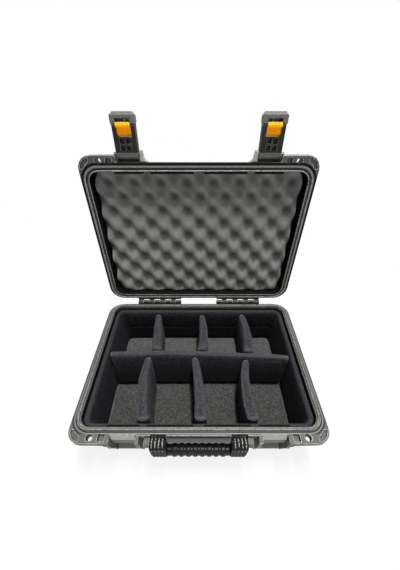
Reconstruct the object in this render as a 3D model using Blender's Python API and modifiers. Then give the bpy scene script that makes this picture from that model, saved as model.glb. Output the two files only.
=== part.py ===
"""Hard carrying case: a latched two-part shell with an egg-crate foam lid and padded dividers.

Metres, +Z up, +Y towards the hinges, +X to the right of someone facing the open case.
The origin is on the underside, midway across the width and midway along the rim.
The lid, the latches and their levers are modelled closed and then turned open about
the empties on their hinge axes.
"""

import math

import bmesh
import bpy
from mathutils import Matrix, Vector

# Overall sizes
CASE_WIDTH = 0.470
RIM_LENGTH = 0.3386
RIM_HEIGHT = 0.126
LID_HEIGHT = 0.052
LID_OPEN_DEG = 97.0

# Moulded walls of both halves, measured at the plane where the halves meet
WALL = 0.0040
DRAFT_DEG = 1.3
RIM_SIDE = 0.0130
RIM_BACK = 0.0095
RIM_FRONT = 0.0125
EAR_REACH = 0.0126
RIM_DEPTH = 0.0115
INNER_CORNER_RADIUS = 0.024
EAR_CORNER_RADIUS = 0.026
STEP_RADIUS = 0.0025
FLOOR_EDGE_RADIUS = 0.010
LID_EDGE_RADIUS = 0.012
MEETING_GAP = 0.0004

# Tongue of the base, groove of the lid and the seal between them
TONGUE_HEIGHT = 0.0045
GROOVE_CLEARANCE = 0.0005
SEAL_THICKNESS = 0.0032
SEAT_GAP = 0.0003

# Inner lip and its pads
LIP_REACH = 0.0030
LIP_ROOT = 0.0010
LIP_DEPTH = 0.0040
PAD_PROUD = 0.0004
PAD_DROP = 0.0006
FRONT_PAD_REACH = 0.0038
SIDE_PAD_REACH = 0.0013
FRONT_PAD_EDGE_SHARES = ((0.0437, 0.430), (0.493, 0.751))
SIDE_PAD_EDGE_SHARES = ((0.075, 0.150), (0.185, 0.302), (0.336, 0.490), (0.524, 0.666), (0.701, 0.870))

# Ribs, grooves and feet of the moulding
SIDE_RIB_SHARES = (0.16, 0.33, 0.50, 0.67, 0.84)
SIDE_RIB_WIDTH = 0.0032
SIDE_RIB_REACH_SHARE = 0.72
SIDE_RIB_TAIL_SHARE = 0.42
LID_RIB_TAIL_SHARE = 0.72
GROOVE_WIDTH = 0.012
GROOVE_DEPTH = 0.0015
UNDERSIDE_GROOVE_SHARES = (0.34, 0.62)
TOP_GROOVE_SHARES = (0.14, 0.28, 0.42)
TOP_GROOVE_LENGTH_SHARE = 0.62

# Corner ears: padlock holes, square pockets and crescent recesses
HOLE_SPACING = 0.387
HOLE_INSET = 0.0096
HOLE_RADIUS = 0.0050
HOLE_CHAMFER = 0.0014
EAR_BOSS_RADIUS = 0.0088
EAR_BOSS_HEIGHT = 0.0100
POCKET_SIZE = 0.012
POCKET_DEPTH = 0.0055
POCKET_OFFSET = 0.0205
CRESCENT_DEPTH = 0.0022
CRESCENT_INSET = 0.0036
CRESCENT_WIDTH = 0.0075
CRESCENT_SPAN_DEG = 74.0
CRESCENT_MIDDLE_DEG = 225.0

# Hinges
HINGE_BACK = 0.0107
HINGE_DROP = 0.0026
KNUCKLE_RADIUS = 0.0055
KNUCKLE_COUNT = 8
KNUCKLE_GAP = 0.0004
KNUCKLE_START_DEG = 100.0
KNUCKLE_END_DEG = 180.0
WEB_GAP = 0.0006
WEB_DROP = 0.0008
HINGE_INNER = 0.048
HINGE_OUTER = 0.165
HINGE_ROOT = 0.0040
PIN_RADIUS = 0.0020
PIN_CLEARANCE = 0.0003
PIN_END_INSET = 0.0006

# Latches, in the closed case: sizes from the pivot axis down, in and out
LATCH_SPACING = 0.272
LATCH_PIVOT_FRONT = 0.0105
LATCH_PIVOT_RISE = 0.0130
LATCH_LENGTH = 0.0682
LATCH_WIDTH = 0.0425
LATCH_INNER = 0.0072
LATCH_OUTER = 0.0070
LATCH_KNUCKLE_RADIUS = 0.0060
LATCH_KNUCKLE_START_DEG = -20.0
LATCH_KNUCKLE_END_DEG = 200.0
LATCH_OPEN_DEG = 90.0
HEAD_WIDTH = 0.0445
HEAD_LENGTH = 0.0177
HEAD_INNER = 0.0093
HEAD_OUTER = 0.0084
HEAD_TIP = 0.0050
HEAD_SHOULDER = 0.0058
LATCH_COVER = 0.0030
LATCH_POCKET_WIDTH = 0.0088
LATCH_POCKET_HEIGHT = 0.0084
LATCH_POCKET_PITCH = 0.0112
LATCH_POCKET_DEPTH = 0.0060
LATCH_POCKET_TOP = 0.0284
WINDOW_BOTTOM = 0.0585
PRESS_WINDOW_BOTTOM = 0.0472

# Release levers, in the closed latch
LEVER_WIDTH = 0.0254
LEVER_SIDE_GAP = 0.0005
LEVER_TOP_GAP = 0.0006
LEVER_PIN_DROP = 0.0378
LEVER_HEAD_RADIUS = 0.0066
LEVER_HEAD_END_DEG = 150.0
LEVER_FACE = 0.0063
LEVER_BACK = 0.0030
LEVER_TIP_DROP = 0.0530
HOOK_DROP = 0.0455
HOOK_REACH = 0.0140
HOOK_LAND = 0.0036
HOOK_SLOPE = 0.0046
PRESS_PAD_PROUD = 0.0020
PRESS_PAD_TAIL = 0.0446
SPRING_COIL_RADIUS = 0.0019
SPRING_WIRE_RADIUS = 0.00035
SPRING_TURNS = 4
SPRING_TURN_POINTS = 8
SPRING_CLEARANCE = 0.0004

# Lugs on the lid that hold the latch pins, and the plate between them
LUG_GAP = 0.0006
LUG_WIDTH = 0.0052
LUG_INNER_RADIUS = 0.0095
LUG_OUTER_RADIUS = 0.0062
LUG_FOOT = 0.0125
LUG_START_DEG = 225.0
BUTTRESS_TIP = 0.0012
BUTTRESS_REACH_SHARE = 0.88
PLATE_RISE = 0.0078
PLATE_THICKNESS = 0.0017

# Latch seats on the base
SEAT_OPENING = 0.0465
SEAT_RIB_WIDTH = 0.0060
SEAT_RIB_TOP_DROP = 0.0006
SEAT_RIB_NOSE = 0.0310
SEAT_RIB_TAIL = 0.040
CATCH_REACH = 0.0026
CATCH_CLEARANCE = 0.0005
CATCH_SLOPE_START = 0.0020
CATCH_SLOPE_HEIGHT = 0.0120
LEDGE_TOP_GAP = 0.0060
LEDGE_DROP = 0.0115
LEDGE_REACH = 0.0010
LEDGE_THICKNESS = 0.0085

# Carrying handle, hanging down
SHOULDER_WIDTH = 0.0285
HANDLE_AXIS_FRONT = 0.0092
HANDLE_AXIS_DROP = 0.0130
HANDLE_LUG_WIDTH = 0.0095
HANDLE_LUG_RADIUS = 0.0062
HANDLE_LUG_GAP = 0.0006
HANDLE_LUG_TAIL_SHARE = 3.0
HANDLE_RIB_GAP = 0.00925
BARREL_RADIUS = 0.0104
BARREL_START_DEG = -30.0
NOTCH_GAP = 0.0006
SHOULDER_CORNER_RADIUS = 0.021
ARM_BACK = 0.0060
GRIP_DROP = 0.0380
GRIP_BACK = 0.0112
GRIP_FRONT = 0.0108
GRIP_HALF_HEIGHT = 0.0120
GRIP_ROUNDING = 0.0092
CORE_INSET = 0.0034
HANDLE_RIB_PITCH = 0.0129
HANDLE_RIB_WIDTH = 0.0062
GRIP_END_LAND = 0.0080
GRIP_SKIN_INSET = 0.0016
RIB_FLANK_SHARE = 0.2
GRIP_END_GAP = 0.0004
SHOULDER_RIDGE_PITCH = 0.0063
SHOULDER_RIDGE_WIDTH = 0.0032
SHOULDER_RIDGE_PROUD = 0.0012
SHOULDER_RIDGE_COUNT = 4
RIDGE_START_DEG = 75.0

# Padded liner, floor pad and dividers
PAD_GAP = 0.0005
LINER_THICKNESS = 0.0128
LINER_TOP_GAP = 0.0008
LINER_ROUNDING = 0.0056
LINER_DRAFT_DEG = 1.3
ROUNDING_SHARE = 0.3
FLOOR_PAD_THICKNESS = 0.0090
FLOOR_THICKNESS = 0.0040
DIVIDER_THICKNESS = 0.0140
DIVIDER_ROUNDING = 0.0056
LONG_DIVIDER_TOP_DROP = 0.0062
SHORT_DIVIDER_TOP_DROP = 0.0085
# Shares of the inner length from the back wall: left end, middle and right end, at top and foot
LONG_DIVIDER_TOP_SHARES = (0.452, 0.4425, 0.498)
LONG_DIVIDER_FOOT_SHARES = (0.538, 0.527, 0.530)
# Shares of the inner half width: at the back end, middle and front end, at top and foot
BACK_DIVIDER_SHARES = {
    "left": ((-0.490, -0.468, -0.452), (-0.476, -0.462, -0.452)),
    "middle": ((0.034, 0.052, 0.032), (0.030, 0.040, 0.030)),
    "right": ((0.510, 0.543, 0.530), (0.505, 0.520, 0.515)),
}
FRONT_DIVIDER_SHARES = {
    "left": ((-0.516, -0.534, -0.478), (-0.500, -0.500, -0.486)),
    "middle": ((-0.050, -0.004, 0.014), (0.010, 0.030, 0.030)),
    "right": ((0.488, 0.449, 0.478), (0.470, 0.458, 0.474)),
}

# Egg-crate foam in the lid
FOAM_PITCH_X = 0.0556
FOAM_PITCH_Y = 0.0560
FOAM_PIT_X = 0.0027
FOAM_PIT_FROM_BACK = 0.0160
FOAM_CREST_DEPTH = 0.0180
FOAM_PIT_DEPTH = 0.0340
FOAM_CELLS_PER_PITCH = 4
FOAM_CORNER_RADIUS = 0.025
FOAM_EDGE_CELL_SHARE = 0.3

OVERRUN = 0.0100
JOIN = 0.0010
CORNER_STEPS = 5
GRIP_CORNER_STEPS = 3
ROUND_STEPS = 16
HALF_ROUND_STEPS = 8
LONG_PANEL_COLUMNS = 8
SHORT_PANEL_COLUMNS = 5
PANEL_ROWS = 3
KNUCKLE_STEPS = 12
PIN_STEPS = 12
LEVER_HEAD_STEPS = 6
BUTTRESS_STEPS = 4
EDGE_STEPS = 2
EVEN_ROUND_SHARE = 0.5
WELD = 0.00001
QUARTER_DEG = 90.0
SHARP_DEG = 40.0
PANEL_EDGE_DEG = 60.0

# Sizes worked out from those above
draft = math.tan(math.radians(DRAFT_DEG))
inner_half = CASE_WIDTH / 2 - RIM_SIDE
rim_back = RIM_LENGTH / 2
ear_front = -RIM_LENGTH / 2
rim_front = ear_front + EAR_REACH
inner_back = rim_back - RIM_BACK
inner_front = rim_front + RIM_FRONT
inner_length = inner_back - inner_front
inner_middle = (inner_back + inner_front) / 2
lid_plane = RIM_HEIGHT + MEETING_GAP
lid_top = RIM_HEIGHT + LID_HEIGHT
lid_ceiling = lid_top - WALL
tongue_top = RIM_HEIGHT + TONGUE_HEIGHT
groove_depth = TONGUE_HEIGHT + SEAL_THICKNESS + 2 * SEAT_GAP - MEETING_GAP
lip_edge = inner_half - LIP_REACH
outer_corner = INNER_CORNER_RADIUS + WALL
rim_corner = INNER_CORNER_RADIUS + RIM_BACK
hinge_y = rim_back + HINGE_BACK
hinge_z = RIM_HEIGHT - HINGE_DROP
latch_x = LATCH_SPACING / 2
latch_y = rim_front - LATCH_PIVOT_FRONT
latch_z = lid_plane + LATCH_PIVOT_RISE
lever_y = latch_y
lever_z = latch_z - LEVER_PIN_DROP
latch_tip_z = latch_z - LATCH_LENGTH
window_top = LEVER_PIN_DROP - LEVER_HEAD_RADIUS - LEVER_TOP_GAP
ear_inner = latch_x + SEAT_OPENING / 2
seat_inner = latch_x - SEAT_OPENING / 2
catch_z = latch_z - HOOK_DROP + CATCH_CLEARANCE
handle_y = rim_front - HANDLE_AXIS_FRONT
handle_z = RIM_HEIGHT - HANDLE_AXIS_DROP
hole_x = HOLE_SPACING / 2
hole_y = ear_front + HOLE_INSET
handle_lug_outer = seat_inner - SEAT_RIB_WIDTH - HANDLE_RIB_GAP
handle_lug_inner = handle_lug_outer - HANDLE_LUG_WIDTH
shoulder_outer = handle_lug_inner - HANDLE_LUG_GAP
shoulder_inner = shoulder_outer - SHOULDER_WIDTH
notch_y = handle_y + BARREL_RADIUS + SHOULDER_RIDGE_PROUD + NOTCH_GAP
shoulder_x = (shoulder_outer + shoulder_inner) / 2
grip_z = handle_z - GRIP_DROP
liner_top = RIM_HEIGHT - LIP_DEPTH - PAD_PROUD - LINER_TOP_GAP
pad_top = FLOOR_THICKNESS + SEAT_GAP + FLOOR_PAD_THICKNESS

parts = bpy.data.collections.new("hard_carrying_case")
guides = bpy.data.collections.new("cutters_and_joint_empties")
waiting = []


def start_empty_scene():
    """Removes what a new scene holds and adds the two collections."""
    for item in list(bpy.data.objects):
        bpy.data.objects.remove(item, do_unlink=True)
    bpy.context.scene.collection.children.link(parts)
    bpy.context.scene.collection.children.link(guides)


def from_bmesh(name, shape):
    """Makes a guide object of a bmesh, ready to be cut, joined or kept."""
    mesh = bpy.data.meshes.new(name)
    bmesh.ops.recalc_face_normals(shape, faces=shape.faces)
    shape.to_mesh(mesh)
    shape.free()
    item = bpy.data.objects.new(name, mesh)
    item.hide_render = True
    item.display_type = "WIRE"
    guides.objects.link(item)
    return item


def keep(item, name, color, roughness, metallic=0.0):
    """Turns a guide into a named part with its own material."""
    item.name = name
    item.data.name = name
    guides.objects.unlink(item)
    parts.objects.link(item)
    item.hide_render = False
    item.display_type = "TEXTURED"
    material = bpy.data.materials.new(name + "_material")
    material.use_nodes = True
    shader = material.node_tree.nodes["Principled BSDF"]
    shader.inputs["Base Color"].default_value = (*color, 1.0)
    shader.inputs["Roughness"].default_value = roughness
    shader.inputs["Metallic"].default_value = metallic
    item.data.materials.append(material)
    return item


def combine(target, tools, operation):
    """Joins tools to the target, or cuts them from it, in one modifier that waits until all is built."""
    group = bpy.data.collections.new(target.name + "_" + operation.lower())
    guides.children.link(group)
    for tool in tools:
        guides.objects.unlink(tool)
        group.objects.link(tool)
    modifier = target.modifiers.new(operation.title(), "BOOLEAN")
    modifier.operand_type = "COLLECTION"
    modifier.collection = group
    modifier.operation = operation
    modifier.solver = "EXACT"
    modifier.show_viewport = False
    waiting.append(modifier)
    return target


def smooth(item):
    """Shades round surfaces smooth and leaves real edges sharp."""
    item.data.shade_smooth()
    item.data.set_sharp_from_angle(angle=math.radians(SHARP_DEG))


def rounded(corners, steps=CORNER_STEPS):
    """Points of a closed outline whose corners (x, y, radius) are rounded with arcs."""
    points = []
    for index, (x, y, radius) in enumerate(corners):
        here = Vector((x, y))
        if radius <= 0:
            points.append(here)
            continue
        before = (Vector(corners[index - 1][:2]) - here).normalized()
        after = (Vector(corners[(index + 1) % len(corners)][:2]) - here).normalized()
        half = before.angle(after) / 2
        centre = here + (before + after).normalized() * radius / math.sin(half)
        spoke = here + before * radius / math.tan(half) - centre
        turn = math.copysign(math.pi - 2 * half, after.cross(before))
        for step in range(steps + 1):
            points.append(centre + Matrix.Rotation(turn * step / steps, 2) @ spoke)
    return points


def arc(centre_x, centre_y, radius, start_deg, end_deg, steps):
    """Points along an arc."""
    points = []
    for step in range(steps + 1):
        angle = math.radians(start_deg + (end_deg - start_deg) * step / steps)
        points.append(Vector((centre_x + radius * math.cos(angle), centre_y + radius * math.sin(angle))))
    return points


def slab(name, outlines, low, high, turn=None):
    """A flat curve filled between its outlines and extruded from low to high, made a closed mesh."""
    curve = bpy.data.curves.new(name, "CURVE")
    curve.dimensions = "2D"
    curve.fill_mode = "BOTH"
    curve.extrude = (high - low) / 2
    for outline in outlines:
        spline = curve.splines.new("POLY")
        spline.points.add(len(outline) - 1)
        for point, place in zip(spline.points, outline):
            point.co = (place[0], place[1], 0, 1)
        spline.use_cyclic_u = True
    flat = bpy.data.objects.new(name + "_outline", curve)
    bpy.context.scene.collection.objects.link(flat)
    bpy.context.view_layer.update()
    mesh = bpy.data.meshes.new_from_object(flat.evaluated_get(bpy.context.evaluated_depsgraph_get()))
    bpy.data.objects.remove(flat)
    shape = bmesh.new()
    shape.from_mesh(mesh)
    bmesh.ops.remove_doubles(shape, verts=shape.verts, dist=WELD)
    bmesh.ops.translate(shape, vec=(0, 0, (low + high) / 2), verts=shape.verts)
    if turn is not None:
        bmesh.ops.transform(shape, matrix=turn, verts=shape.verts)
    return from_bmesh(name, shape)


ALONG_X = Matrix(((0, 0, 1, 0), (1, 0, 0, 0), (0, 1, 0, 0), (0, 0, 0, 1)))


def side_profile(name, outline, x_low, x_high):
    """A slab whose outline is drawn in Y and Z and which runs from x_low to x_high."""
    return slab(name, [outline], x_low, x_high, ALONG_X)


ALONG_Y = Matrix(((1, 0, 0, 0), (0, 0, -1, 0), (0, 1, 0, 0), (0, 0, 0, 1)))


def front_profile(name, outline, y_low, y_high):
    """A slab whose outline is drawn in X and Z and which runs from y_low to y_high."""
    return slab(name, [outline], -y_high, -y_low, ALONG_Y)


def box(name, low, high):
    """A cube primitive stretched between two corners."""
    shape = bmesh.new()
    bmesh.ops.create_cube(shape, size=1)
    bmesh.ops.scale(shape, vec=[b - a for a, b in zip(low, high)], verts=shape.verts)
    bmesh.ops.translate(shape, vec=[(a + b) / 2 for a, b in zip(low, high)], verts=shape.verts)
    return from_bmesh(name, shape)


def rod(name, radius, x_low, x_high, y, z):
    """A cylinder primitive along X, a pin or its bore."""
    shape = bmesh.new()
    place = Matrix.Translation(((x_low + x_high) / 2, y, z)) @ Matrix.Rotation(math.pi / 2, 4, "Y")
    bmesh.ops.create_cone(
        shape,
        cap_ends=True,
        segments=PIN_STEPS,
        radius1=radius,
        radius2=radius,
        depth=x_high - x_low,
        matrix=place,
    )
    return from_bmesh(name, shape)


def bevel(shape, edges, width, steps):
    """Rounds edges of a bmesh evenly."""
    bmesh.ops.bevel(
        shape,
        geom=edges,
        offset=width,
        segments=steps,
        profile=EVEN_ROUND_SHARE,
        affect="EDGES",
    )


def tub(name, offset, radius, closed_z, open_z, plane_z, edge_radius):
    """A block with rounded upright corners that narrows by the draft towards its closed end.

    Its sides lie offset outside the inner wall at plane_z, and the closed end's edge is rounded.
    """
    shape = bmesh.new()
    bmesh.ops.create_cube(shape, size=1)
    low, high = sorted((closed_z, open_z))
    for corner in shape.verts:
        z = high if corner.co.z > 0 else low
        inward = draft * abs(z - plane_z) * (1 if (z - plane_z) * (closed_z - open_z) > 0 else -1)
        reach = offset - inward
        corner.co.x = math.copysign(inner_half + reach, corner.co.x)
        corner.co.y = inner_back + reach if corner.co.y > 0 else inner_front - reach
        corner.co.z = z
    upright = [edge for edge in shape.edges if abs(edge.verts[0].co.z - edge.verts[1].co.z) > radius]
    bevel(shape, upright, radius, CORNER_STEPS)
    end = [edge for edge in shape.edges if all(abs(v.co.z - closed_z) < WELD for v in edge.verts)]
    if edge_radius > 0:
        bevel(shape, end, edge_radius, EDGE_STEPS)
    return from_bmesh(name, shape)


def ring_outline(offset, radius, steps=CORNER_STEPS):
    """The inner wall's outline moved outwards by offset."""
    half = inner_half + offset
    front = inner_front - offset
    back = inner_back + offset
    return rounded(
        [(-half, front, radius), (half, front, radius), (half, back, radius), (-half, back, radius)], steps
    )


def rim_outline():
    """The rim's outline with its corner ears, seen from above."""
    half = CASE_WIDTH / 2
    return rounded(
        [
            (half, rim_back, rim_corner),
            (-half, rim_back, rim_corner),
            (-half, ear_front, EAR_CORNER_RADIUS),
            (-ear_inner, ear_front, STEP_RADIUS),
            (-ear_inner, rim_front, STEP_RADIUS),
            (ear_inner, rim_front, STEP_RADIUS),
            (ear_inner, ear_front, STEP_RADIUS),
            (half, ear_front, EAR_CORNER_RADIUS),
        ]
    )


def under_rim_ribs(name, side_z, tail_z):
    """Upright ribs under the rim along both sides, tapering into the wall towards tail_z."""
    ribs = []
    wall_x = inner_half + WALL / 2
    reach = inner_half + WALL + (RIM_SIDE - WALL) * SIDE_RIB_REACH_SHARE
    tail_wall = inner_half + WALL - draft * abs(side_z - tail_z) - JOIN
    for side in (-1, 1):
        for share in SIDE_RIB_SHARES:
            y = inner_front + inner_length * share
            outline = [
                (side * (wall_x - JOIN), side_z),
                (side * reach, side_z),
                (side * tail_wall, tail_z),
                (side * (tail_wall - JOIN), tail_z),
            ]
            ribs.append(front_profile(name, outline, y - SIDE_RIB_WIDTH / 2, y + SIDE_RIB_WIDTH / 2))
    return ribs


def lip_and_pads(name, low, high, low_growth, high_growth):
    """The inner lip, a ring that overhangs the cavity, and the pads along its front and sides.

    The pads pass the ring by low_growth and high_growth, and stay back from the meeting plane.
    """
    ring = slab(
        name,
        [
            ring_outline(LIP_ROOT, INNER_CORNER_RADIUS + LIP_ROOT),
            ring_outline(-LIP_REACH, INNER_CORNER_RADIUS - LIP_REACH),
        ],
        low,
        high,
    )
    pads = []
    front_edge = inner_front + LIP_REACH
    for side in (-1, 1):
        for near, far in FRONT_PAD_EDGE_SHARES:
            xs = sorted((side * near * inner_half, side * far * inner_half))
            pads.append(
                box(
                    name,
                    (xs[0], front_edge - LIP_ROOT, low - low_growth),
                    (xs[1], front_edge + FRONT_PAD_REACH, high + high_growth),
                )
            )
        for near, far in SIDE_PAD_EDGE_SHARES:
            xs = sorted((side * (lip_edge + LIP_ROOT), side * (lip_edge - SIDE_PAD_REACH)))
            ys = (inner_front + near * inner_length, inner_front + far * inner_length)
            pads.append(box(name, (xs[0], ys[0], low - low_growth), (xs[1], ys[1], high + high_growth)))
    return [ring] + pads


def ear_cuts(name, face_z, through_z):
    """Padlock holes, square pockets and crescent recesses, cut from face_z towards through_z."""
    cuts = []
    away = 1 if through_z > face_z else -1
    for side in (-1, 1):
        shape = bmesh.new()
        middle = Matrix.Translation((side * hole_x, hole_y, (face_z + through_z) / 2))
        bmesh.ops.create_cone(
            shape,
            cap_ends=True,
            segments=ROUND_STEPS,
            radius1=HOLE_RADIUS,
            radius2=HOLE_RADIUS,
            depth=abs(through_z - face_z) + 2 * OVERRUN,
            matrix=middle,
        )
        cuts.append(from_bmesh(name + "_hole", shape))
        shape = bmesh.new()
        wide = HOLE_RADIUS + 2 * HOLE_CHAMFER
        upper, lower = (HOLE_RADIUS, wide) if away > 0 else (wide, HOLE_RADIUS)
        bmesh.ops.create_cone(
            shape,
            cap_ends=True,
            segments=ROUND_STEPS,
            radius1=lower,
            radius2=upper,
            depth=2 * HOLE_CHAMFER,
            matrix=Matrix.Translation((side * hole_x, hole_y, face_z)),
        )
        cuts.append(from_bmesh(name + "_chamfer", shape))
        pocket_x = side * (hole_x - POCKET_OFFSET)
        zs = sorted((face_z - away * OVERRUN, face_z + away * POCKET_DEPTH))
        cuts.append(
            box(
                name + "_pocket",
                (pocket_x - POCKET_SIZE / 2, hole_y - POCKET_SIZE / 2, zs[0]),
                (pocket_x + POCKET_SIZE / 2, hole_y + POCKET_SIZE / 2, zs[1]),
            )
        )
        centre_x = CASE_WIDTH / 2 - EAR_CORNER_RADIUS
        centre_y = ear_front + EAR_CORNER_RADIUS
        outer = EAR_CORNER_RADIUS - CRESCENT_INSET
        start = CRESCENT_MIDDLE_DEG - CRESCENT_SPAN_DEG / 2
        end = CRESCENT_MIDDLE_DEG + CRESCENT_SPAN_DEG / 2
        outline = arc(-centre_x, centre_y, outer, start, end, CORNER_STEPS)
        slip = CRESCENT_WIDTH / math.sqrt(2)
        hollow = arc(-centre_x + slip, centre_y + slip, outer, start, end, CORNER_STEPS)
        outline = outline + hollow[-2:0:-1]
        outline = [Vector((-side * point.x, point.y)) for point in outline]
        zs = sorted((face_z - away * OVERRUN, face_z + away * CRESCENT_DEPTH))
        cuts.append(slab(name + "_crescent", [outline], *zs))
    return cuts


def knuckle_span(side, index):
    """The two ends along X of one hinge knuckle."""
    width = (HINGE_OUTER - HINGE_INNER) / KNUCKLE_COUNT
    ends = (
        side * (HINGE_INNER + width * index) + side * KNUCKLE_GAP / 2,
        side * (HINGE_INNER + width * (index + 1)) - side * KNUCKLE_GAP / 2,
    )
    return sorted(ends)


def knuckles(name, first, root_z, side_of_axis):
    """Every second knuckle of both hinges, each with an arm to the rim's back at root_z."""
    found = []
    root_y = rim_back - HINGE_ROOT
    start = side_of_axis * KNUCKLE_START_DEG
    end = -side_of_axis * KNUCKLE_END_DEG
    face_z = (lid_plane + JOIN / 2) if side_of_axis > 0 else (RIM_HEIGHT - JOIN / 2)
    outline = [Vector((root_y, root_z))]
    outline += arc(hinge_y, hinge_z, KNUCKLE_RADIUS, start, end, KNUCKLE_STEPS)
    outline += [Vector((hinge_y - KNUCKLE_RADIUS, face_z)), Vector((root_y, face_z))]
    for side in (-1, 1):
        for index in range(first, KNUCKLE_COUNT, 2):
            low, high = knuckle_span(side, index)
            found.append(side_profile(name, outline, low, high))
    return found


def hinge_webs(name, low, high):
    """A web behind the rim along each hinge, clear of the other half's knuckles."""
    webs = []
    back = hinge_y - KNUCKLE_RADIUS - WEB_GAP
    for side in (-1, 1):
        xs = sorted((side * (HINGE_INNER + KNUCKLE_GAP), side * (HINGE_OUTER - KNUCKLE_GAP)))
        webs.append(box(name, (xs[0], rim_back - JOIN, low), (xs[1], back, high)))
    return webs


def hinge_bores(name):
    """The bores for both hinge pins."""
    bores = []
    for side in (-1, 1):
        low, high = sorted((side * (HINGE_INNER - OVERRUN), side * (HINGE_OUTER + OVERRUN)))
        bores.append(rod(name, PIN_RADIUS + PIN_CLEARANCE, low, high, hinge_y, hinge_z))
    return bores


def latch_seat(name):
    """For each latch: two ribs, the catch that the lever hooks under, and the ledge below the tip."""
    wall_top = inner_front - WALL
    root_y = wall_top + draft * RIM_HEIGHT + JOIN
    ledge_top = latch_tip_z - LEDGE_TOP_GAP
    ledge_front = rim_front - LEDGE_REACH
    rib_top = RIM_HEIGHT - SEAT_RIB_TOP_DROP
    rib_front = ear_front + JOIN / 2
    rib_outline = [
        (root_y, rib_top),
        (rib_front, rib_top),
        (rib_front, RIM_HEIGHT - SEAT_RIB_NOSE),
        (ledge_front - JOIN, ledge_top - LEDGE_DROP),
        (ledge_front - JOIN, ledge_top - LEDGE_DROP - LEDGE_THICKNESS / 2),
        (root_y, SEAT_RIB_TAIL),
    ]
    catch_outline = [
        (root_y, rib_top),
        (rim_front - CATCH_REACH, rib_top),
        (rim_front - CATCH_REACH, catch_z),
        (root_y, catch_z),
    ]
    ledge_outline = [
        (root_y, ledge_top),
        (wall_top, ledge_top),
        (ledge_front, ledge_top - LEDGE_DROP),
        (ledge_front, ledge_top - LEDGE_DROP - LEDGE_THICKNESS / 2),
        (wall_top, ledge_top - LEDGE_DROP - LEDGE_THICKNESS),
        (root_y, ledge_top - LEDGE_DROP - LEDGE_THICKNESS),
    ]
    found = []
    for side in (-1, 1):
        low, high = sorted((side * seat_inner, side * (seat_inner - SEAT_RIB_WIDTH)))
        found.append(side_profile(name + "_rib", rib_outline, low, high))
        low, high = sorted((side * (ear_inner + JOIN / 2), side * (ear_inner + SEAT_RIB_WIDTH)))
        found.append(side_profile(name + "_rib", rib_outline, low, high))
        low, high = sorted((side * (seat_inner - JOIN), side * (ear_inner + JOIN)))
        found.append(side_profile(name + "_catch", catch_outline, low, high))
        found.append(side_profile(name + "_ledge", ledge_outline, low, high))
    return found


def seat_slopes(name):
    """Cuts the rim's front edge to a slope above each catch."""
    start_y = rim_front + CATCH_SLOPE_START
    end_y = rim_front - CATCH_REACH
    low_z = RIM_HEIGHT - CATCH_SLOPE_HEIGHT
    outline = [
        (start_y, RIM_HEIGHT + OVERRUN),
        (start_y, RIM_HEIGHT),
        (end_y, low_z),
        (end_y - JOIN / 2, low_z),
        (end_y - JOIN / 2, RIM_HEIGHT + OVERRUN),
    ]
    found = []
    for side in (-1, 1):
        low, high = sorted((side * (seat_inner - JOIN / 2), side * (ear_inner - JOIN / 2)))
        found.append(side_profile(name, outline, low, high))
    return found


def handle_lugs(name):
    """The two lugs under the front rim, outside the handle's shoulders, that carry its pins."""
    root_y = inner_front - WALL + draft * RIM_HEIGHT + JOIN
    outline = [Vector((root_y, handle_z + HANDLE_LUG_RADIUS))]
    outline += arc(handle_y, handle_z, HANDLE_LUG_RADIUS, QUARTER_DEG, 3 * QUARTER_DEG, HALF_ROUND_STEPS)
    outline += [Vector((root_y, handle_z - HANDLE_LUG_RADIUS * HANDLE_LUG_TAIL_SHARE))]
    found = []
    for side in (-1, 1):
        low, high = sorted((side * handle_lug_inner, side * handle_lug_outer))
        found.append(side_profile(name, outline, low, high))
    return found


def handle_notches(name):
    """Cuts the rim's front edge back behind each shoulder of the handle."""
    found = []
    for side in (-1, 1):
        low, high = sorted((side * (shoulder_inner - JOIN), side * (shoulder_outer + HANDLE_LUG_GAP / 2)))
        found.append(
            box(
                name,
                (low, rim_front - OVERRUN, RIM_HEIGHT - RIM_DEPTH - JOIN),
                (high, notch_y, RIM_HEIGHT + JOIN),
            )
        )
    return found


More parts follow.
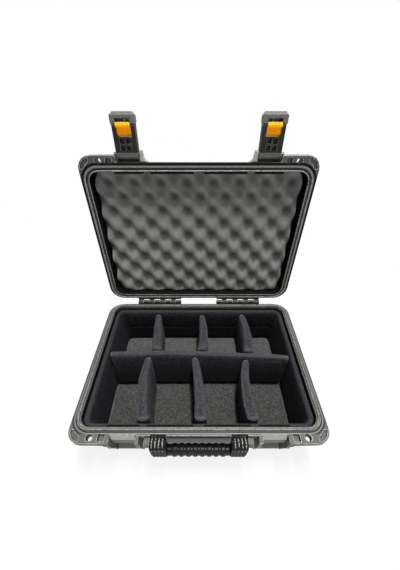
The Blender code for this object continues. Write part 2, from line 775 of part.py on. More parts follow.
def make_base():
    """The base shell: tub, rim, tongue, lip, ribs, hinge knuckles, latch seats and handle lugs."""
    shell = tub("base_outer", WALL, outer_corner, 0, RIM_HEIGHT, RIM_HEIGHT, FLOOR_EDGE_RADIUS)
    additions = [slab("base_rim", [rim_outline()], RIM_HEIGHT - RIM_DEPTH, RIM_HEIGHT)]
    additions.append(
        slab("base_tongue", [ring_outline(WALL, outer_corner)], RIM_HEIGHT - RIM_DEPTH / 2, tongue_top)
    )
    additions += under_rim_ribs("base_rib", RIM_HEIGHT - RIM_DEPTH / 2, RIM_HEIGHT * SIDE_RIB_TAIL_SHARE)
    additions += knuckles("base_knuckle", 0, RIM_HEIGHT - RIM_DEPTH + JOIN, -1)
    additions += hinge_webs("base_web", RIM_HEIGHT - RIM_DEPTH + JOIN, RIM_HEIGHT - WEB_DROP)
    additions += latch_seat("base_seat")
    additions += handle_lugs("base_handle_lug")
    combine(shell, additions, "UNION")
    hollow = tub(
        "base_hollow",
        0,
        INNER_CORNER_RADIUS,
        FLOOR_THICKNESS,
        tongue_top + OVERRUN,
        RIM_HEIGHT,
        FLOOR_EDGE_RADIUS - WALL,
    )
    combine(shell, [hollow], "DIFFERENCE")
    lip = lip_and_pads("base_lip", RIM_HEIGHT - LIP_DEPTH, RIM_HEIGHT, PAD_PROUD, -PAD_DROP)
    combine(shell, lip, "UNION")
    cuts = ear_cuts("base_ear", RIM_HEIGHT, RIM_HEIGHT - RIM_DEPTH)
    cuts += hinge_bores("base_hinge_bore")
    cuts += seat_slopes("base_seat_slope")
    cuts += handle_notches("base_handle_notch")
    for side in (-1, 1):
        low, high = sorted((side * (handle_lug_inner - JOIN), side * (handle_lug_outer + JOIN)))
        cuts.append(rod("base_handle_bore", PIN_RADIUS + PIN_CLEARANCE, low, high, handle_y, handle_z))
        for share in UNDERSIDE_GROOVE_SHARES:
            x = side * share * inner_half
            cuts.append(
                box(
                    "base_underside_groove",
                    (x - GROOVE_WIDTH / 2, inner_front + 2 * GROOVE_WIDTH, -OVERRUN),
                    (x + GROOVE_WIDTH / 2, inner_back - 2 * GROOVE_WIDTH, GROOVE_DEPTH),
                )
            )
    combine(shell, cuts, "DIFFERENCE")
    return keep(shell, "base_shell", (0.075, 0.080, 0.078), 0.55)


def lid_lugs(name):
    """The lugs either side of each latch, the inner ones buttressed, and a plate behind the latch's end."""
    root_y = inner_front - WALL + JOIN
    foot_z = lid_plane + RIM_DEPTH / 2
    lug_near = LATCH_WIDTH / 2 + LUG_GAP
    found = []
    for side in (-1, 1):
        for out, radius in ((-1, LUG_INNER_RADIUS), (1, LUG_OUTER_RADIUS)):
            profile = [Vector((root_y, foot_z)), Vector((rim_front, foot_z))]
            profile += arc(latch_y, latch_z, radius, LUG_START_DEG, QUARTER_DEG, HALF_ROUND_STEPS)
            profile += [Vector((root_y, latch_z + radius))]
            near = side * (latch_x + out * lug_near)
            far = side * (latch_x + out * (lug_near + LUG_WIDTH))
            found.append(side_profile(name, profile, *sorted((near, far))))
        inner_face = latch_x - lug_near - LUG_WIDTH
        tip_y = latch_y - LUG_INNER_RADIUS * BUTTRESS_REACH_SHARE
        foot = [(side * (inner_face + JOIN), tip_y)]
        for turned in arc(0, 0, 1, 0, QUARTER_DEG, BUTTRESS_STEPS):
            x = inner_face - LUG_FOOT + (LUG_FOOT - BUTTRESS_TIP) * turned.x
            foot.append((side * x, tip_y + (rim_front + JOIN - tip_y) * turned.y))
        foot += [(side * (inner_face - LUG_FOOT), root_y), (side * (inner_face + JOIN), root_y)]
        found.append(slab(name + "_buttress", [foot], foot_z, latch_z + LUG_INNER_RADIUS / 2))
        low, high = sorted((side * (latch_x - lug_near - JOIN), side * (latch_x + lug_near + JOIN)))
        plate_z = latch_z + PLATE_RISE
        plate_top = plate_z + PLATE_THICKNESS - JOIN / 2
        found.append(box(name + "_plate", (low, latch_y, plate_z), (high, root_y, plate_top)))
    return found


def ear_bosses(name):
    """A boss behind each padlock hole of the lid."""
    found = []
    low = lid_plane + RIM_DEPTH - JOIN
    high = lid_plane + RIM_DEPTH + EAR_BOSS_HEIGHT
    for side in (-1, 1):
        shape = bmesh.new()
        bmesh.ops.create_cone(
            shape,
            cap_ends=True,
            segments=ROUND_STEPS,
            radius1=EAR_BOSS_RADIUS,
            radius2=EAR_BOSS_RADIUS,
            depth=high - low,
            matrix=Matrix.Translation((side * hole_x, hole_y, (low + high) / 2)),
        )
        found.append(from_bmesh(name, shape))
    return found


def make_lid():
    """The lid shell, as it lies when closed."""
    shell = tub("lid_outer", WALL, outer_corner, lid_top, lid_plane, lid_plane, LID_EDGE_RADIUS)
    additions = [slab("lid_rim", [rim_outline()], lid_plane, lid_plane + RIM_DEPTH)]
    tail_z = lid_plane + (lid_top - lid_plane) * LID_RIB_TAIL_SHARE
    additions += under_rim_ribs("lid_rib", lid_plane + RIM_DEPTH / 2, tail_z)
    additions += knuckles("lid_knuckle", 1, lid_plane + RIM_DEPTH - JOIN, 1)
    additions += hinge_webs("lid_web", lid_plane + WEB_DROP, lid_plane + RIM_DEPTH - JOIN)
    additions += lid_lugs("lid_lug")
    additions += ear_bosses("lid_ear_boss")
    combine(shell, additions, "UNION")
    hollow = tub(
        "lid_hollow",
        0,
        INNER_CORNER_RADIUS,
        lid_ceiling,
        lid_plane - OVERRUN,
        lid_plane,
        LID_EDGE_RADIUS - WALL,
    )
    combine(shell, [hollow], "DIFFERENCE")
    lip_depth = groove_depth + WALL / 2
    lip = lip_and_pads("lid_lip", lid_plane, lid_plane + lip_depth, -PAD_DROP, PAD_PROUD)
    combine(shell, lip, "UNION")
    cuts = [
        slab(
            "lid_seal_groove",
            [
                ring_outline(WALL + GROOVE_CLEARANCE, outer_corner + GROOVE_CLEARANCE),
                ring_outline(-GROOVE_CLEARANCE, INNER_CORNER_RADIUS - GROOVE_CLEARANCE),
            ],
            lid_plane - OVERRUN,
            lid_plane + groove_depth,
        )
    ]
    cuts += ear_cuts("lid_ear", lid_plane, lid_plane + RIM_DEPTH + EAR_BOSS_HEIGHT)
    cuts += hinge_bores("lid_hinge_bore")
    for side in (-1, 1):
        x = side * latch_x
        radius = PIN_RADIUS + PIN_CLEARANCE
        cuts.append(rod("lid_latch_bore", radius, x - LATCH_WIDTH, x + LATCH_WIDTH, latch_y, latch_z))
        for share in TOP_GROOVE_SHARES:
            y = inner_middle + side * share * inner_length
            length = inner_half * TOP_GROOVE_LENGTH_SHARE
            cuts.append(
                box(
                    "lid_top_groove",
                    (-length, y - GROOVE_WIDTH / 2, lid_top - GROOVE_DEPTH),
                    (length, y + GROOVE_WIDTH / 2, lid_top + OVERRUN),
                )
            )
    combine(shell, cuts, "DIFFERENCE")
    return keep(shell, "lid_shell", (0.070, 0.072, 0.075), 0.55)


def make_seal():
    """The rubber seal in the lid's groove, which the tongue of the base meets."""
    gap = GROOVE_CLEARANCE - SEAT_GAP
    top = lid_plane + groove_depth - SEAT_GAP
    seal = slab(
        "seal",
        [
            ring_outline(WALL + gap, outer_corner + gap),
            ring_outline(-gap, INNER_CORNER_RADIUS - gap),
        ],
        top - SEAL_THICKNESS,
        top,
    )
    return keep(seal, "lid_gasket", (0.012, 0.012, 0.013), 0.7)


def foam_lines(low, high, pit, cell):
    """Places of the foam's grid lines from low to high: the ends, and a line through a pit every cell."""
    near = FOAM_EDGE_CELL_SHARE * cell
    first = math.ceil((low + near - pit) / cell)
    last = math.floor((high - near - pit) / cell)
    return [low] + [pit + cell * index for index in range(first, last + 1)] + [high]


def make_foam():
    """Egg-crate foam: crests and pits in staggered rows, cut wavy at its edges, flat at its back."""
    back_z = lid_ceiling - PAD_GAP
    crest_z = lid_plane + FOAM_CREST_DEPTH
    pit_z = lid_plane + FOAM_PIT_DEPTH
    middle_z = (crest_z + pit_z) / 2
    swing = (pit_z - crest_z) / 2
    reach = -draft * (lid_ceiling - lid_plane) - PAD_GAP
    half = inner_half + reach
    front = inner_front - reach
    back = inner_back + reach
    pit_y = inner_back - FOAM_PIT_FROM_BACK
    columns = foam_lines(-half, half, FOAM_PIT_X, FOAM_PITCH_X / FOAM_CELLS_PER_PITCH)
    rows = foam_lines(front, back, pit_y, FOAM_PITCH_Y / FOAM_CELLS_PER_PITCH)
    across = len(columns) - 1
    along = len(rows) - 1
    shape = bmesh.new()
    bmesh.ops.create_grid(shape, x_segments=across, y_segments=along, size=1)
    top = list(shape.faces)
    for point in shape.verts:
        x = columns[round((point.co.x + 1) / 2 * across)]
        y = rows[round((point.co.y + 1) / 2 * along)]
        wave = math.cos(math.tau * (x - FOAM_PIT_X) / FOAM_PITCH_X)
        wave *= math.cos(math.tau * (y - pit_y) / FOAM_PITCH_Y)
        point.co = (x, y, middle_z + swing * wave)
        corner_x = half - FOAM_CORNER_RADIUS
        corner_y = (front + FOAM_CORNER_RADIUS) if y < inner_middle else (back - FOAM_CORNER_RADIUS)
        out_x = abs(x) - corner_x
        out_y = (corner_y - y) if y < inner_middle else (y - corner_y)
        if out_x > 0 and out_y > 0:
            share = max(out_x, out_y) / math.hypot(out_x, out_y)
            point.co.x = math.copysign(corner_x + out_x * share, x)
            point.co.y = corner_y + (y - corner_y) * share
    grown = bmesh.ops.extrude_face_region(shape, geom=top, use_keep_orig=True)
    flat = [item for item in grown["geom"] if isinstance(item, bmesh.types.BMVert)]
    for point in flat:
        point.co.z = back_z
    back_faces = [face for face in shape.faces if all(abs(v.co.z - back_z) < WELD for v in face.verts)]
    inside = {edge for face in back_faces for edge in face.edges if len(edge.link_faces) == 2}
    inside = [edge for edge in inside if all(f in back_faces for f in edge.link_faces)]
    bmesh.ops.dissolve_edges(shape, edges=inside, use_verts=True)
    rim = [edge for edge in shape.edges if all(abs(v.co.z - back_z) < WELD for v in edge.verts)]
    bevel(shape, rim, LID_EDGE_RADIUS - WALL, 1)
    foam = from_bmesh("foam", shape)
    return keep(foam, "lid_foam", (0.060, 0.061, 0.064), 0.95)


def padded_band(name, outer_offset, thickness, low, high, plane_z, rounding):
    """A padded ring round the inside of the base, with its top edges rounded."""
    slope = math.tan(math.radians(LINER_DRAFT_DEG))
    shape = bmesh.new()
    rings = []
    foot = FLOOR_EDGE_RADIUS - WALL + SEAT_GAP
    levels = (
        (low, foot, 0.0),
        (low + foot, 0.0, 0.0),
        (high - rounding, 0.0, 0.0),
        (high - rounding * ROUNDING_SHARE, rounding * ROUNDING_SHARE, rounding * ROUNDING_SHARE),
        (high, rounding, rounding),
    )
    wall = [(z, outer_offset - inset) for z, inset, _ in levels]
    face = [(z, outer_offset - thickness + inset) for z, _, inset in levels]
    for z, offset in wall + face[::-1]:
        outline = ring_outline(offset - slope * (plane_z - z), INNER_CORNER_RADIUS + offset)
        rings.append([shape.verts.new((point.x, point.y, z)) for point in outline])
    rings.append(rings[0])
    for lower, upper in zip(rings, rings[1:]):
        for index in range(len(lower)):
            after = (index + 1) % len(lower)
            shape.faces.new((lower[index], lower[after], upper[after], upper[index]))
    return from_bmesh(name, shape)


def make_liner():
    """The padded wall liner and the floor pad inside it."""
    low = FLOOR_THICKNESS + SEAT_GAP
    liner = padded_band("liner", -PAD_GAP, LINER_THICKNESS, low, liner_top, RIM_HEIGHT, LINER_ROUNDING)
    keep(liner, "wall_liner", (0.022, 0.022, 0.026), 0.95)
    slope = math.tan(math.radians(LINER_DRAFT_DEG))
    offset = -3 * PAD_GAP - LINER_THICKNESS
    outline = ring_outline(offset - slope * (RIM_HEIGHT - low), INNER_CORNER_RADIUS + offset)
    pad = slab("pad", [outline], low, pad_top)
    return keep(pad, "floor_pad", (0.085, 0.087, 0.085), 0.95)


def quadratic(first, middle, last, share):
    """A smooth curve through three values at shares 0, 0.5 and 1."""
    ends = first * (1 - share) * (1 - 2 * share) + last * share * (2 * share - 1)
    return ends + middle * 4 * share * (1 - share)


def liner_face(z):
    """The offset from the inner wall's rim outline to the liner's inner face at height z, below 0."""
    return -PAD_GAP - LINER_THICKNESS - math.tan(math.radians(LINER_DRAFT_DEG)) * (RIM_HEIGHT - z)


def long_divider_y(x, z):
    """The long divider's middle surface at x and height z."""
    share = (x + inner_half) / (2 * inner_half)
    top = inner_back - inner_length * quadratic(*LONG_DIVIDER_TOP_SHARES, share)
    foot = inner_back - inner_length * quadratic(*LONG_DIVIDER_FOOT_SHARES, share)
    up = (z - pad_top) / (RIM_HEIGHT - pad_top)
    return foot + (top - foot) * up


def panel(name, place, columns):
    """A padded panel: a grid laid on the surface place(u, v), given thickness and rounded edges."""
    shape = bmesh.new()
    bmesh.ops.create_grid(shape, x_segments=columns, y_segments=PANEL_ROWS, size=1)
    for point in shape.verts:
        point.co = place((point.co.x + 1) / 2, (point.co.y + 1) / 2)
    item = from_bmesh(name, shape)
    thick = item.modifiers.new("Thickness", "SOLIDIFY")
    thick.thickness = DIVIDER_THICKNESS
    thick.offset = 0
    thick.use_even_offset = True
    edge = item.modifiers.new("Rounded edges", "BEVEL")
    edge.width = DIVIDER_ROUNDING
    edge.segments = EDGE_STEPS
    edge.limit_method = "ANGLE"
    edge.angle_limit = math.radians(PANEL_EDGE_DEG)
    return item


def foot_height(top_shares, foot_shares, length):
    """The height of a leaning panel's middle surface at its foot, so its lower edge clears the pad."""
    lean = max(abs(a - b) for a, b in zip(top_shares, foot_shares)) * length / (RIM_HEIGHT - pad_top)
    return pad_top + SEAT_GAP + lean * DIVIDER_THICKNESS / 2


def make_dividers():
    """The leaning long divider and three short ones either side of it."""
    low = foot_height(LONG_DIVIDER_TOP_SHARES, LONG_DIVIDER_FOOT_SHARES, inner_length)
    top = RIM_HEIGHT - LONG_DIVIDER_TOP_DROP

    def long_place(u, v):
        z = low + (top - low) * v
        half = inner_half + liner_face(z) - PAD_GAP
        x = -half + 2 * half * u
        return Vector((x, long_divider_y(x, z), z))

    keep(panel("long", long_place, LONG_PANEL_COLUMNS), "long_divider", (0.024, 0.024, 0.028), 0.95)
    top = RIM_HEIGHT - SHORT_DIVIDER_TOP_DROP
    for row, table in (("back", BACK_DIVIDER_SHARES), ("front", FRONT_DIVIDER_SHARES)):
        for side, (top_shares, foot_shares) in table.items():
            low = foot_height(top_shares, foot_shares, inner_half)

            def short_place(u, v):
                z = low + (top - low) * v
                across = quadratic(*foot_shares, u) * (1 - v) + quadratic(*top_shares, u) * v
                x = across * inner_half
                clear = DIVIDER_THICKNESS / 2 + 3 * PAD_GAP
                middle = long_divider_y(x, z)
                if row == "back":
                    start = inner_back + liner_face(z) - 2 * PAD_GAP
                    end = middle + clear
                else:
                    start = middle - clear
                    end = inner_front - liner_face(z) + 2 * PAD_GAP
                return Vector((x, start + (end - start) * u, z))

            item = panel(side, short_place, SHORT_PANEL_COLUMNS)
            keep(item, f"{row}_divider_{side}", (0.024, 0.024, 0.028), 0.95)


def make_hinge_pins():
    """A steel pin through each hinge."""
    for side, word in ((-1, "left"), (1, "right")):
        low, high = sorted((side * (HINGE_INNER + PIN_END_INSET), side * (HINGE_OUTER - PIN_END_INSET)))
        pin = rod("pin", PIN_RADIUS, low, high, hinge_y, hinge_z)
        keep(pin, "hinge_pin_" + word, (0.45, 0.45, 0.46), 0.35, 1.0)


def make_latch(side, word):
    """A latch body with its pin, closed: a channel with pockets, a lever window and a thick head."""
    x = side * latch_x
    start = LATCH_KNUCKLE_START_DEG
    outline = arc(latch_y, latch_z, LATCH_KNUCKLE_RADIUS, start, LATCH_KNUCKLE_END_DEG, HALF_ROUND_STEPS)
    low = latch_z - LATCH_LENGTH + HEAD_LENGTH / 2
    outline += [
        Vector((latch_y - LATCH_OUTER, latch_z - LATCH_KNUCKLE_RADIUS)),
        Vector((latch_y - LATCH_OUTER, low)),
        Vector((latch_y + LATCH_INNER, low)),
        Vector((latch_y + LATCH_INNER, latch_z - LATCH_KNUCKLE_RADIUS)),
    ]
    body = side_profile("latch", outline, x - LATCH_WIDTH / 2, x + LATCH_WIDTH / 2)
    tip = latch_z - LATCH_LENGTH
    shoulder = tip + HEAD_LENGTH
    head_outline = [
        Vector((latch_y + HEAD_INNER, shoulder)),
        Vector((latch_y - LATCH_OUTER + JOIN, shoulder)),
        Vector((latch_y - HEAD_OUTER, shoulder - HEAD_TIP / 2)),
        Vector((latch_y - HEAD_OUTER, tip + HEAD_TIP / 2)),
        Vector((latch_y - HEAD_OUTER + HEAD_TIP / 2, tip)),
        Vector((latch_y + HEAD_INNER - HEAD_TIP, tip)),
        Vector((latch_y + HEAD_INNER, tip + HEAD_TIP)),
    ]
    head = side_profile("latch_head", head_outline, x - HEAD_WIDTH / 2, x + HEAD_WIDTH / 2)
    combine(body, [head], "UNION")
    window_half = LEVER_WIDTH / 2 + LEVER_SIDE_GAP
    cover_y = latch_y - LATCH_OUTER + LATCH_COVER
    cuts = [
        box(
            "latch_press_window",
            (x - window_half, latch_y - LATCH_OUTER - OVERRUN, latch_z - PRESS_WINDOW_BOTTOM),
            (x + window_half, latch_y + LATCH_INNER + OVERRUN, latch_z - window_top),
        ),
        box(
            "latch_lever_window",
            (x - window_half, cover_y, latch_z - WINDOW_BOTTOM),
            (x + window_half, latch_y + LATCH_INNER + OVERRUN, latch_z - window_top - JOIN),
        ),
        rod("latch_bore", PIN_RADIUS + PIN_CLEARANCE, x - LATCH_WIDTH, x + LATCH_WIDTH, latch_y, latch_z),
        rod(
            "latch_lever_bore",
            PIN_RADIUS + PIN_CLEARANCE,
            x - LATCH_WIDTH / 2 + LATCH_COVER,
            x + LATCH_WIDTH / 2 - LATCH_COVER,
            lever_y,
            lever_z,
        ),
    ]
    pocket_floor = latch_y + LATCH_INNER - LATCH_POCKET_DEPTH
    for column in (-1, 1):
        for row in (0, 1):
            pocket_x = x + column * LATCH_POCKET_PITCH / 2
            pocket_top = latch_z - LATCH_POCKET_TOP + row * LATCH_POCKET_PITCH + LATCH_POCKET_HEIGHT
            cuts.append(
                box(
                    "latch_pocket",
                    (pocket_x - LATCH_POCKET_WIDTH / 2, pocket_floor, pocket_top - LATCH_POCKET_HEIGHT),
                    (pocket_x + LATCH_POCKET_WIDTH / 2, pocket_floor + OVERRUN, pocket_top),
                )
            )
    for out in (-1, 1):
        edge_x = x + out * HEAD_WIDTH / 2
        corner = [
            (edge_x + out * OVERRUN, tip - OVERRUN),
            (edge_x - out * HEAD_TIP - out * OVERRUN, tip - OVERRUN),
            (edge_x - out * HEAD_TIP, tip),
            (edge_x, tip + HEAD_SHOULDER),
            (edge_x + out * OVERRUN, tip + HEAD_SHOULDER),
        ]
        deep = HEAD_INNER + HEAD_OUTER
        cuts.append(front_profile("latch_corner", corner, latch_y - deep, latch_y + deep))
    combine(body, cuts, "DIFFERENCE")
    latch = keep(body, "latch_body_" + word, (0.030, 0.030, 0.032), 0.5)
    reach = LATCH_WIDTH / 2 + LUG_GAP + LUG_WIDTH - PIN_END_INSET
    pin = rod("pin", PIN_RADIUS, x - reach, x + reach, latch_y, latch_z)
    pin = keep(pin, "latch_pin_" + word, (0.45, 0.45, 0.46), 0.35, 1.0)
    reach = LATCH_WIDTH / 2 - LATCH_COVER - SEAT_GAP
    lever_pin = rod("pin", PIN_RADIUS, x - reach, x + reach, lever_y, lever_z)
    lever_pin = keep(lever_pin, "lever_pin_" + word, (0.45, 0.45, 0.46), 0.35, 1.0)
    return latch, pin, lever_pin


def make_lever(side, word):
    """The orange release lever, closed: a rocker with a hook towards the case and a press pad outside."""
    x = side * latch_x
    tip = latch_z - LEVER_TIP_DROP
    hook = latch_z - HOOK_DROP
    outline = arc(lever_y, lever_z, LEVER_HEAD_RADIUS, 0, LEVER_HEAD_END_DEG, LEVER_HEAD_STEPS)
    outline += [
        Vector((lever_y - LATCH_OUTER - PRESS_PAD_PROUD, lever_z + LEVER_HEAD_RADIUS / 2)),
        Vector((lever_y - LATCH_OUTER - PRESS_PAD_PROUD, latch_z - PRESS_PAD_TAIL + PRESS_PAD_PROUD)),
        Vector((lever_y - LATCH_OUTER, latch_z - PRESS_PAD_TAIL)),
        Vector((lever_y + LEVER_BACK, hook - HOOK_LAND / 2)),
        Vector((lever_y + LEVER_BACK, tip)),
        Vector((lever_y + HOOK_REACH - HOOK_SLOPE, tip)),
        Vector((lever_y + HOOK_REACH, hook - HOOK_LAND)),
        Vector((lever_y + HOOK_REACH, hook)),
        Vector((lever_y + LEVER_FACE, hook)),
    ]
    lever = side_profile("lever", outline, x - LEVER_WIDTH / 2, x + LEVER_WIDTH / 2)
    bore = rod("lever_bore", PIN_RADIUS + PIN_CLEARANCE, x - LEVER_WIDTH, x + LEVER_WIDTH, lever_y, lever_z)
    combine(lever, [bore], "DIFFERENCE")
    return keep(lever, "release_lever_" + word, (0.900, 0.330, 0.010), 0.4)


def make_lever_spring(side, word):
    """A coil spring between the latch's cover and the back of the lever."""
    start = latch_y - LATCH_OUTER + LATCH_COVER + SPRING_CLEARANCE + SPRING_WIRE_RADIUS
    end = latch_y + LEVER_BACK - SPRING_CLEARANCE - SPRING_WIRE_RADIUS
    z = latch_z - (LEVER_TIP_DROP + HOOK_DROP + HOOK_LAND) / 2
    count = SPRING_TURNS * SPRING_TURN_POINTS
    curve = bpy.data.curves.new("spring", "CURVE")
    curve.dimensions = "3D"
    curve.bevel_depth = SPRING_WIRE_RADIUS
    curve.bevel_resolution = 1
    curve.use_fill_caps = True
    spline = curve.splines.new("POLY")
    spline.points.add(count)
    for index, point in enumerate(spline.points):
        angle = math.tau * index / SPRING_TURN_POINTS
        y = start + (end - start) * index / count
        point.co = (
            side * latch_x + SPRING_COIL_RADIUS * math.cos(angle),
            y,
            z + SPRING_COIL_RADIUS * math.sin(angle),
            1,
        )
    pitch = (end - start) / SPRING_TURNS
    print("lever spring: least gap between turns", round(pitch - 2 * SPRING_WIRE_RADIUS, 5), "m")
    coil = bpy.data.objects.new("spring_curve", curve)
    bpy.context.scene.collection.objects.link(coil)
    bpy.context.view_layer.update()
    mesh = bpy.data.meshes.new_from_object(coil.evaluated_get(bpy.context.evaluated_depsgraph_get()))
    bpy.data.objects.remove(coil)
    shape = bmesh.new()
    shape.from_mesh(mesh)
    bmesh.ops.remove_doubles(shape, verts=shape.verts, dist=WELD)
    spring = from_bmesh("spring", shape)
    return keep(spring, "lever_spring_" + word, (0.62, 0.62, 0.60), 0.3, 1.0)


def shoulder_profile():
    """The side outline of the handle's shoulder, from the barrel round the pin down to the grip."""
    grip_front = handle_y - GRIP_FRONT
    grip_back = handle_y + GRIP_BACK
    low = grip_z - GRIP_HALF_HEIGHT
    points = arc(handle_y, handle_z, BARREL_RADIUS, BARREL_START_DEG, 2 * QUARTER_DEG, HALF_ROUND_STEPS)
    corner = (grip_front + GRIP_ROUNDING, low + GRIP_ROUNDING, GRIP_ROUNDING)
    points += arc(*corner, 2 * QUARTER_DEG, 3 * QUARTER_DEG, EDGE_STEPS)
    points += [
        Vector((grip_back - GRIP_ROUNDING / 2, low)),
        Vector((grip_back, low + GRIP_ROUNDING / 2)),
        Vector((grip_back, grip_z + GRIP_HALF_HEIGHT / 2)),
        Vector((handle_y + ARM_BACK, handle_z - GRIP_DROP / 2)),
    ]
    return points


def ridge_profile():
    """The side outline of one ridge over the shoulder's barrel and down its front."""
    ridge_radius = BARREL_RADIUS + SHOULDER_RIDGE_PROUD
    points = [Vector((handle_y, handle_z))]
    points += arc(handle_y, handle_z, ridge_radius, RIDGE_START_DEG, 2 * QUARTER_DEG, HALF_ROUND_STEPS)
    points += [
        Vector((handle_y - GRIP_FRONT - SHOULDER_RIDGE_PROUD, grip_z)),
        Vector((handle_y - GRIP_FRONT / 2, grip_z - GRIP_HALF_HEIGHT / 2)),
    ]
    return points


def grip_section(inset):
    """The grip's rounded section in Y and Z, drawn in by inset."""
    front = handle_y - GRIP_FRONT + inset
    back = handle_y + GRIP_BACK - inset
    low = grip_z - GRIP_HALF_HEIGHT + inset
    high = grip_z + GRIP_HALF_HEIGHT - inset
    radius = GRIP_ROUNDING - inset
    corners = [(front, low, radius), (back, low, radius), (back, high, radius), (front, high, radius)]
    return rounded(corners, GRIP_CORNER_STEPS)


def shoulder_corner(side):
    """Cuts the lower outer corner of a shoulder round, as seen from the front."""
    low = grip_z - GRIP_HALF_HEIGHT
    centre_x = shoulder_outer - SHOULDER_CORNER_RADIUS + JOIN / 4
    centre_z = low + SHOULDER_CORNER_RADIUS - JOIN / 4
    edge = arc(centre_x, centre_z, SHOULDER_CORNER_RADIUS, 0, -QUARTER_DEG, CORNER_STEPS)
    edge += [
        Vector((centre_x, low - OVERRUN)),
        Vector((shoulder_outer + OVERRUN, low - OVERRUN)),
        Vector((shoulder_outer + OVERRUN, centre_z)),
    ]
    outline = [Vector((side * point.x, point.y)) for point in edge]
    return front_profile("handle_corner", outline, handle_y - 2 * GRIP_FRONT, handle_y + 2 * GRIP_BACK)


def make_grip():
    """The grip's ribbed sleeve: rings laid along the core, with the ribs that fit between its plain ends."""
    end = shoulder_inner - GRIP_END_GAP
    flank = (HANDLE_RIB_PITCH - HANDLE_RIB_WIDTH) * RIB_FLANK_SHARE
    first_to_last = 2 * (end - GRIP_END_LAND - flank) - HANDLE_RIB_WIDTH
    count = math.floor(first_to_last / HANDLE_RIB_PITCH) + 1
    stations = [(-end, GRIP_SKIN_INSET)]
    for index in range(count):
        x = (index - (count - 1) / 2) * HANDLE_RIB_PITCH
        half = HANDLE_RIB_WIDTH / 2
        stations += [
            (x - half - flank, GRIP_SKIN_INSET),
            (x - half, 0),
            (x + half, 0),
            (x + half + flank, GRIP_SKIN_INSET),
        ]
    stations += [(end, GRIP_SKIN_INSET), (end, CORE_INSET - SEAT_GAP), (-end, CORE_INSET - SEAT_GAP)]
    shape = bmesh.new()
    rings = []
    for x, inset in stations:
        rings.append([shape.verts.new((x, point.x, point.y)) for point in grip_section(inset)])
    for lower, upper in zip(rings, rings[1:] + rings[:1]):
        for index in range(len(lower)):
            after = (index + 1) % len(lower)
            shape.faces.new((lower[index], lower[after], upper[after], upper[index]))
    grip = from_bmesh("grip", shape)
    return keep(grip, "handle_grip", (0.010, 0.010, 0.011), 0.4)


def make_handle():
    """The handle's frame with ridged shoulders, its ribbed grip over the core, and its two pins."""
    frame = side_profile("handle_core", grip_section(CORE_INSET), -shoulder_x, shoulder_x)
    additions = []
    cuts = []
    profile = shoulder_profile()
    ridge = ridge_profile()
    for side in (-1, 1):
        low, high = sorted((side * shoulder_inner, side * shoulder_outer))
        additions.append(side_profile("handle_shoulder", profile, low, high))
        for index in range(SHOULDER_RIDGE_COUNT):
            offset = (index - (SHOULDER_RIDGE_COUNT - 1) / 2) * SHOULDER_RIDGE_PITCH
            ridge_x = side * shoulder_x + offset
            additions.append(
                side_profile(
                    "handle_ridge",
                    ridge,
                    ridge_x - SHOULDER_RIDGE_WIDTH / 2,
                    ridge_x + SHOULDER_RIDGE_WIDTH / 2,
                )
            )
        cuts.append(shoulder_corner(side))
        bore = PIN_RADIUS + PIN_CLEARANCE
        cuts.append(rod("handle_bore", bore, low - OVERRUN, high + OVERRUN, handle_y, handle_z))
    combine(frame, additions, "UNION")
    combine(frame, cuts, "DIFFERENCE")
    handle = keep(frame, "handle_frame", (0.012, 0.012, 0.013), 0.35)
    grip = make_grip()
    for side, word in ((-1, "left"), (1, "right")):
        near = side * (shoulder_inner + PIN_END_INSET)
        far = side * (handle_lug_outer - PIN_END_INSET)
        pin = rod("pin", PIN_RADIUS, *sorted((near, far)), handle_y, handle_z)
        keep(pin, "handle_pin_" + word, (0.45, 0.45, 0.46), 0.35, 1.0)
    return handle, grip


def joint_empty(name, place, parent=None):
    """An empty on a joint's axis, itself carried by its parent."""
    empty = bpy.data.objects.new(name, None)
    empty.location = place
    guides.objects.link(empty)
    bpy.context.view_layer.update()
    if parent is not None:
        carry(empty, parent)
    return empty


def carry(item, parent):
    """Parents an item where it stands."""
    item.parent = parent
    item.matrix_parent_inverse = parent.matrix_world.inverted()
    bpy.context.view_layer.update()


def with_tools(item):
    """An item and every object that its Boolean modifiers use."""
    found = [item]
    for modifier in item.modifiers:
        if modifier.type == "BOOLEAN":
            found += list(modifier.collection.objects)
    return found


def build():
    """Builds every part closed, then opens the lid and the latches."""
    start_empty_scene()
    make_base()
    make_liner()
    make_dividers()
    make_hinge_pins()
    lid_parts = [make_lid(), make_seal(), make_foam()]
    lid_hinge = joint_empty("lid_hinge_axis", (0, hinge_y, hinge_z))
    turns = [(lid_hinge, -LID_OPEN_DEG)]
    carried = []
    for side, word in ((-1, "left"), (1, "right")):
        latch, latch_pin, lever_pin = make_latch(side, word)
        lever = make_lever(side, word)
        spring = make_lever_spring(side, word)
        lid_parts.append(latch_pin)
        latch_axis = joint_empty("latch_axis_" + word, (side * latch_x, latch_y, latch_z), lid_hinge)
        lever_axis = joint_empty("lever_axis_" + word, (side * latch_x, lever_y, lever_z), latch_axis)
        turns.append((latch_axis, -LATCH_OPEN_DEG))
        carried += [(latch, latch_axis), (lever_pin, latch_axis), (spring, latch_axis), (lever, lever_axis)]
    carried += [(item, lid_hinge) for item in lid_parts]
    handle, grip = make_handle()
    handle_axis = joint_empty("handle_axis", (0, handle_y, handle_z))
    carried += [(handle, handle_axis), (grip, handle_axis)]
    for item, parent in carried:
        for piece in with_tools(item):
            carry(piece, parent)
    for empty, angle in turns:
        empty.rotation_euler.x = math.radians(angle)
    bpy.context.view_layer.update()
    for modifier in waiting:
        modifier.show_viewport = True
    for item in parts.objects:
        smooth(item)


build()
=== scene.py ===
"""Dresses the hard carrying case: moulded shells, foam, padded fabric, latches, springs and handle.

Every place is in metres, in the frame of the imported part: +Z up, +Y towards the hinges.
"""

import math
from collections import namedtuple

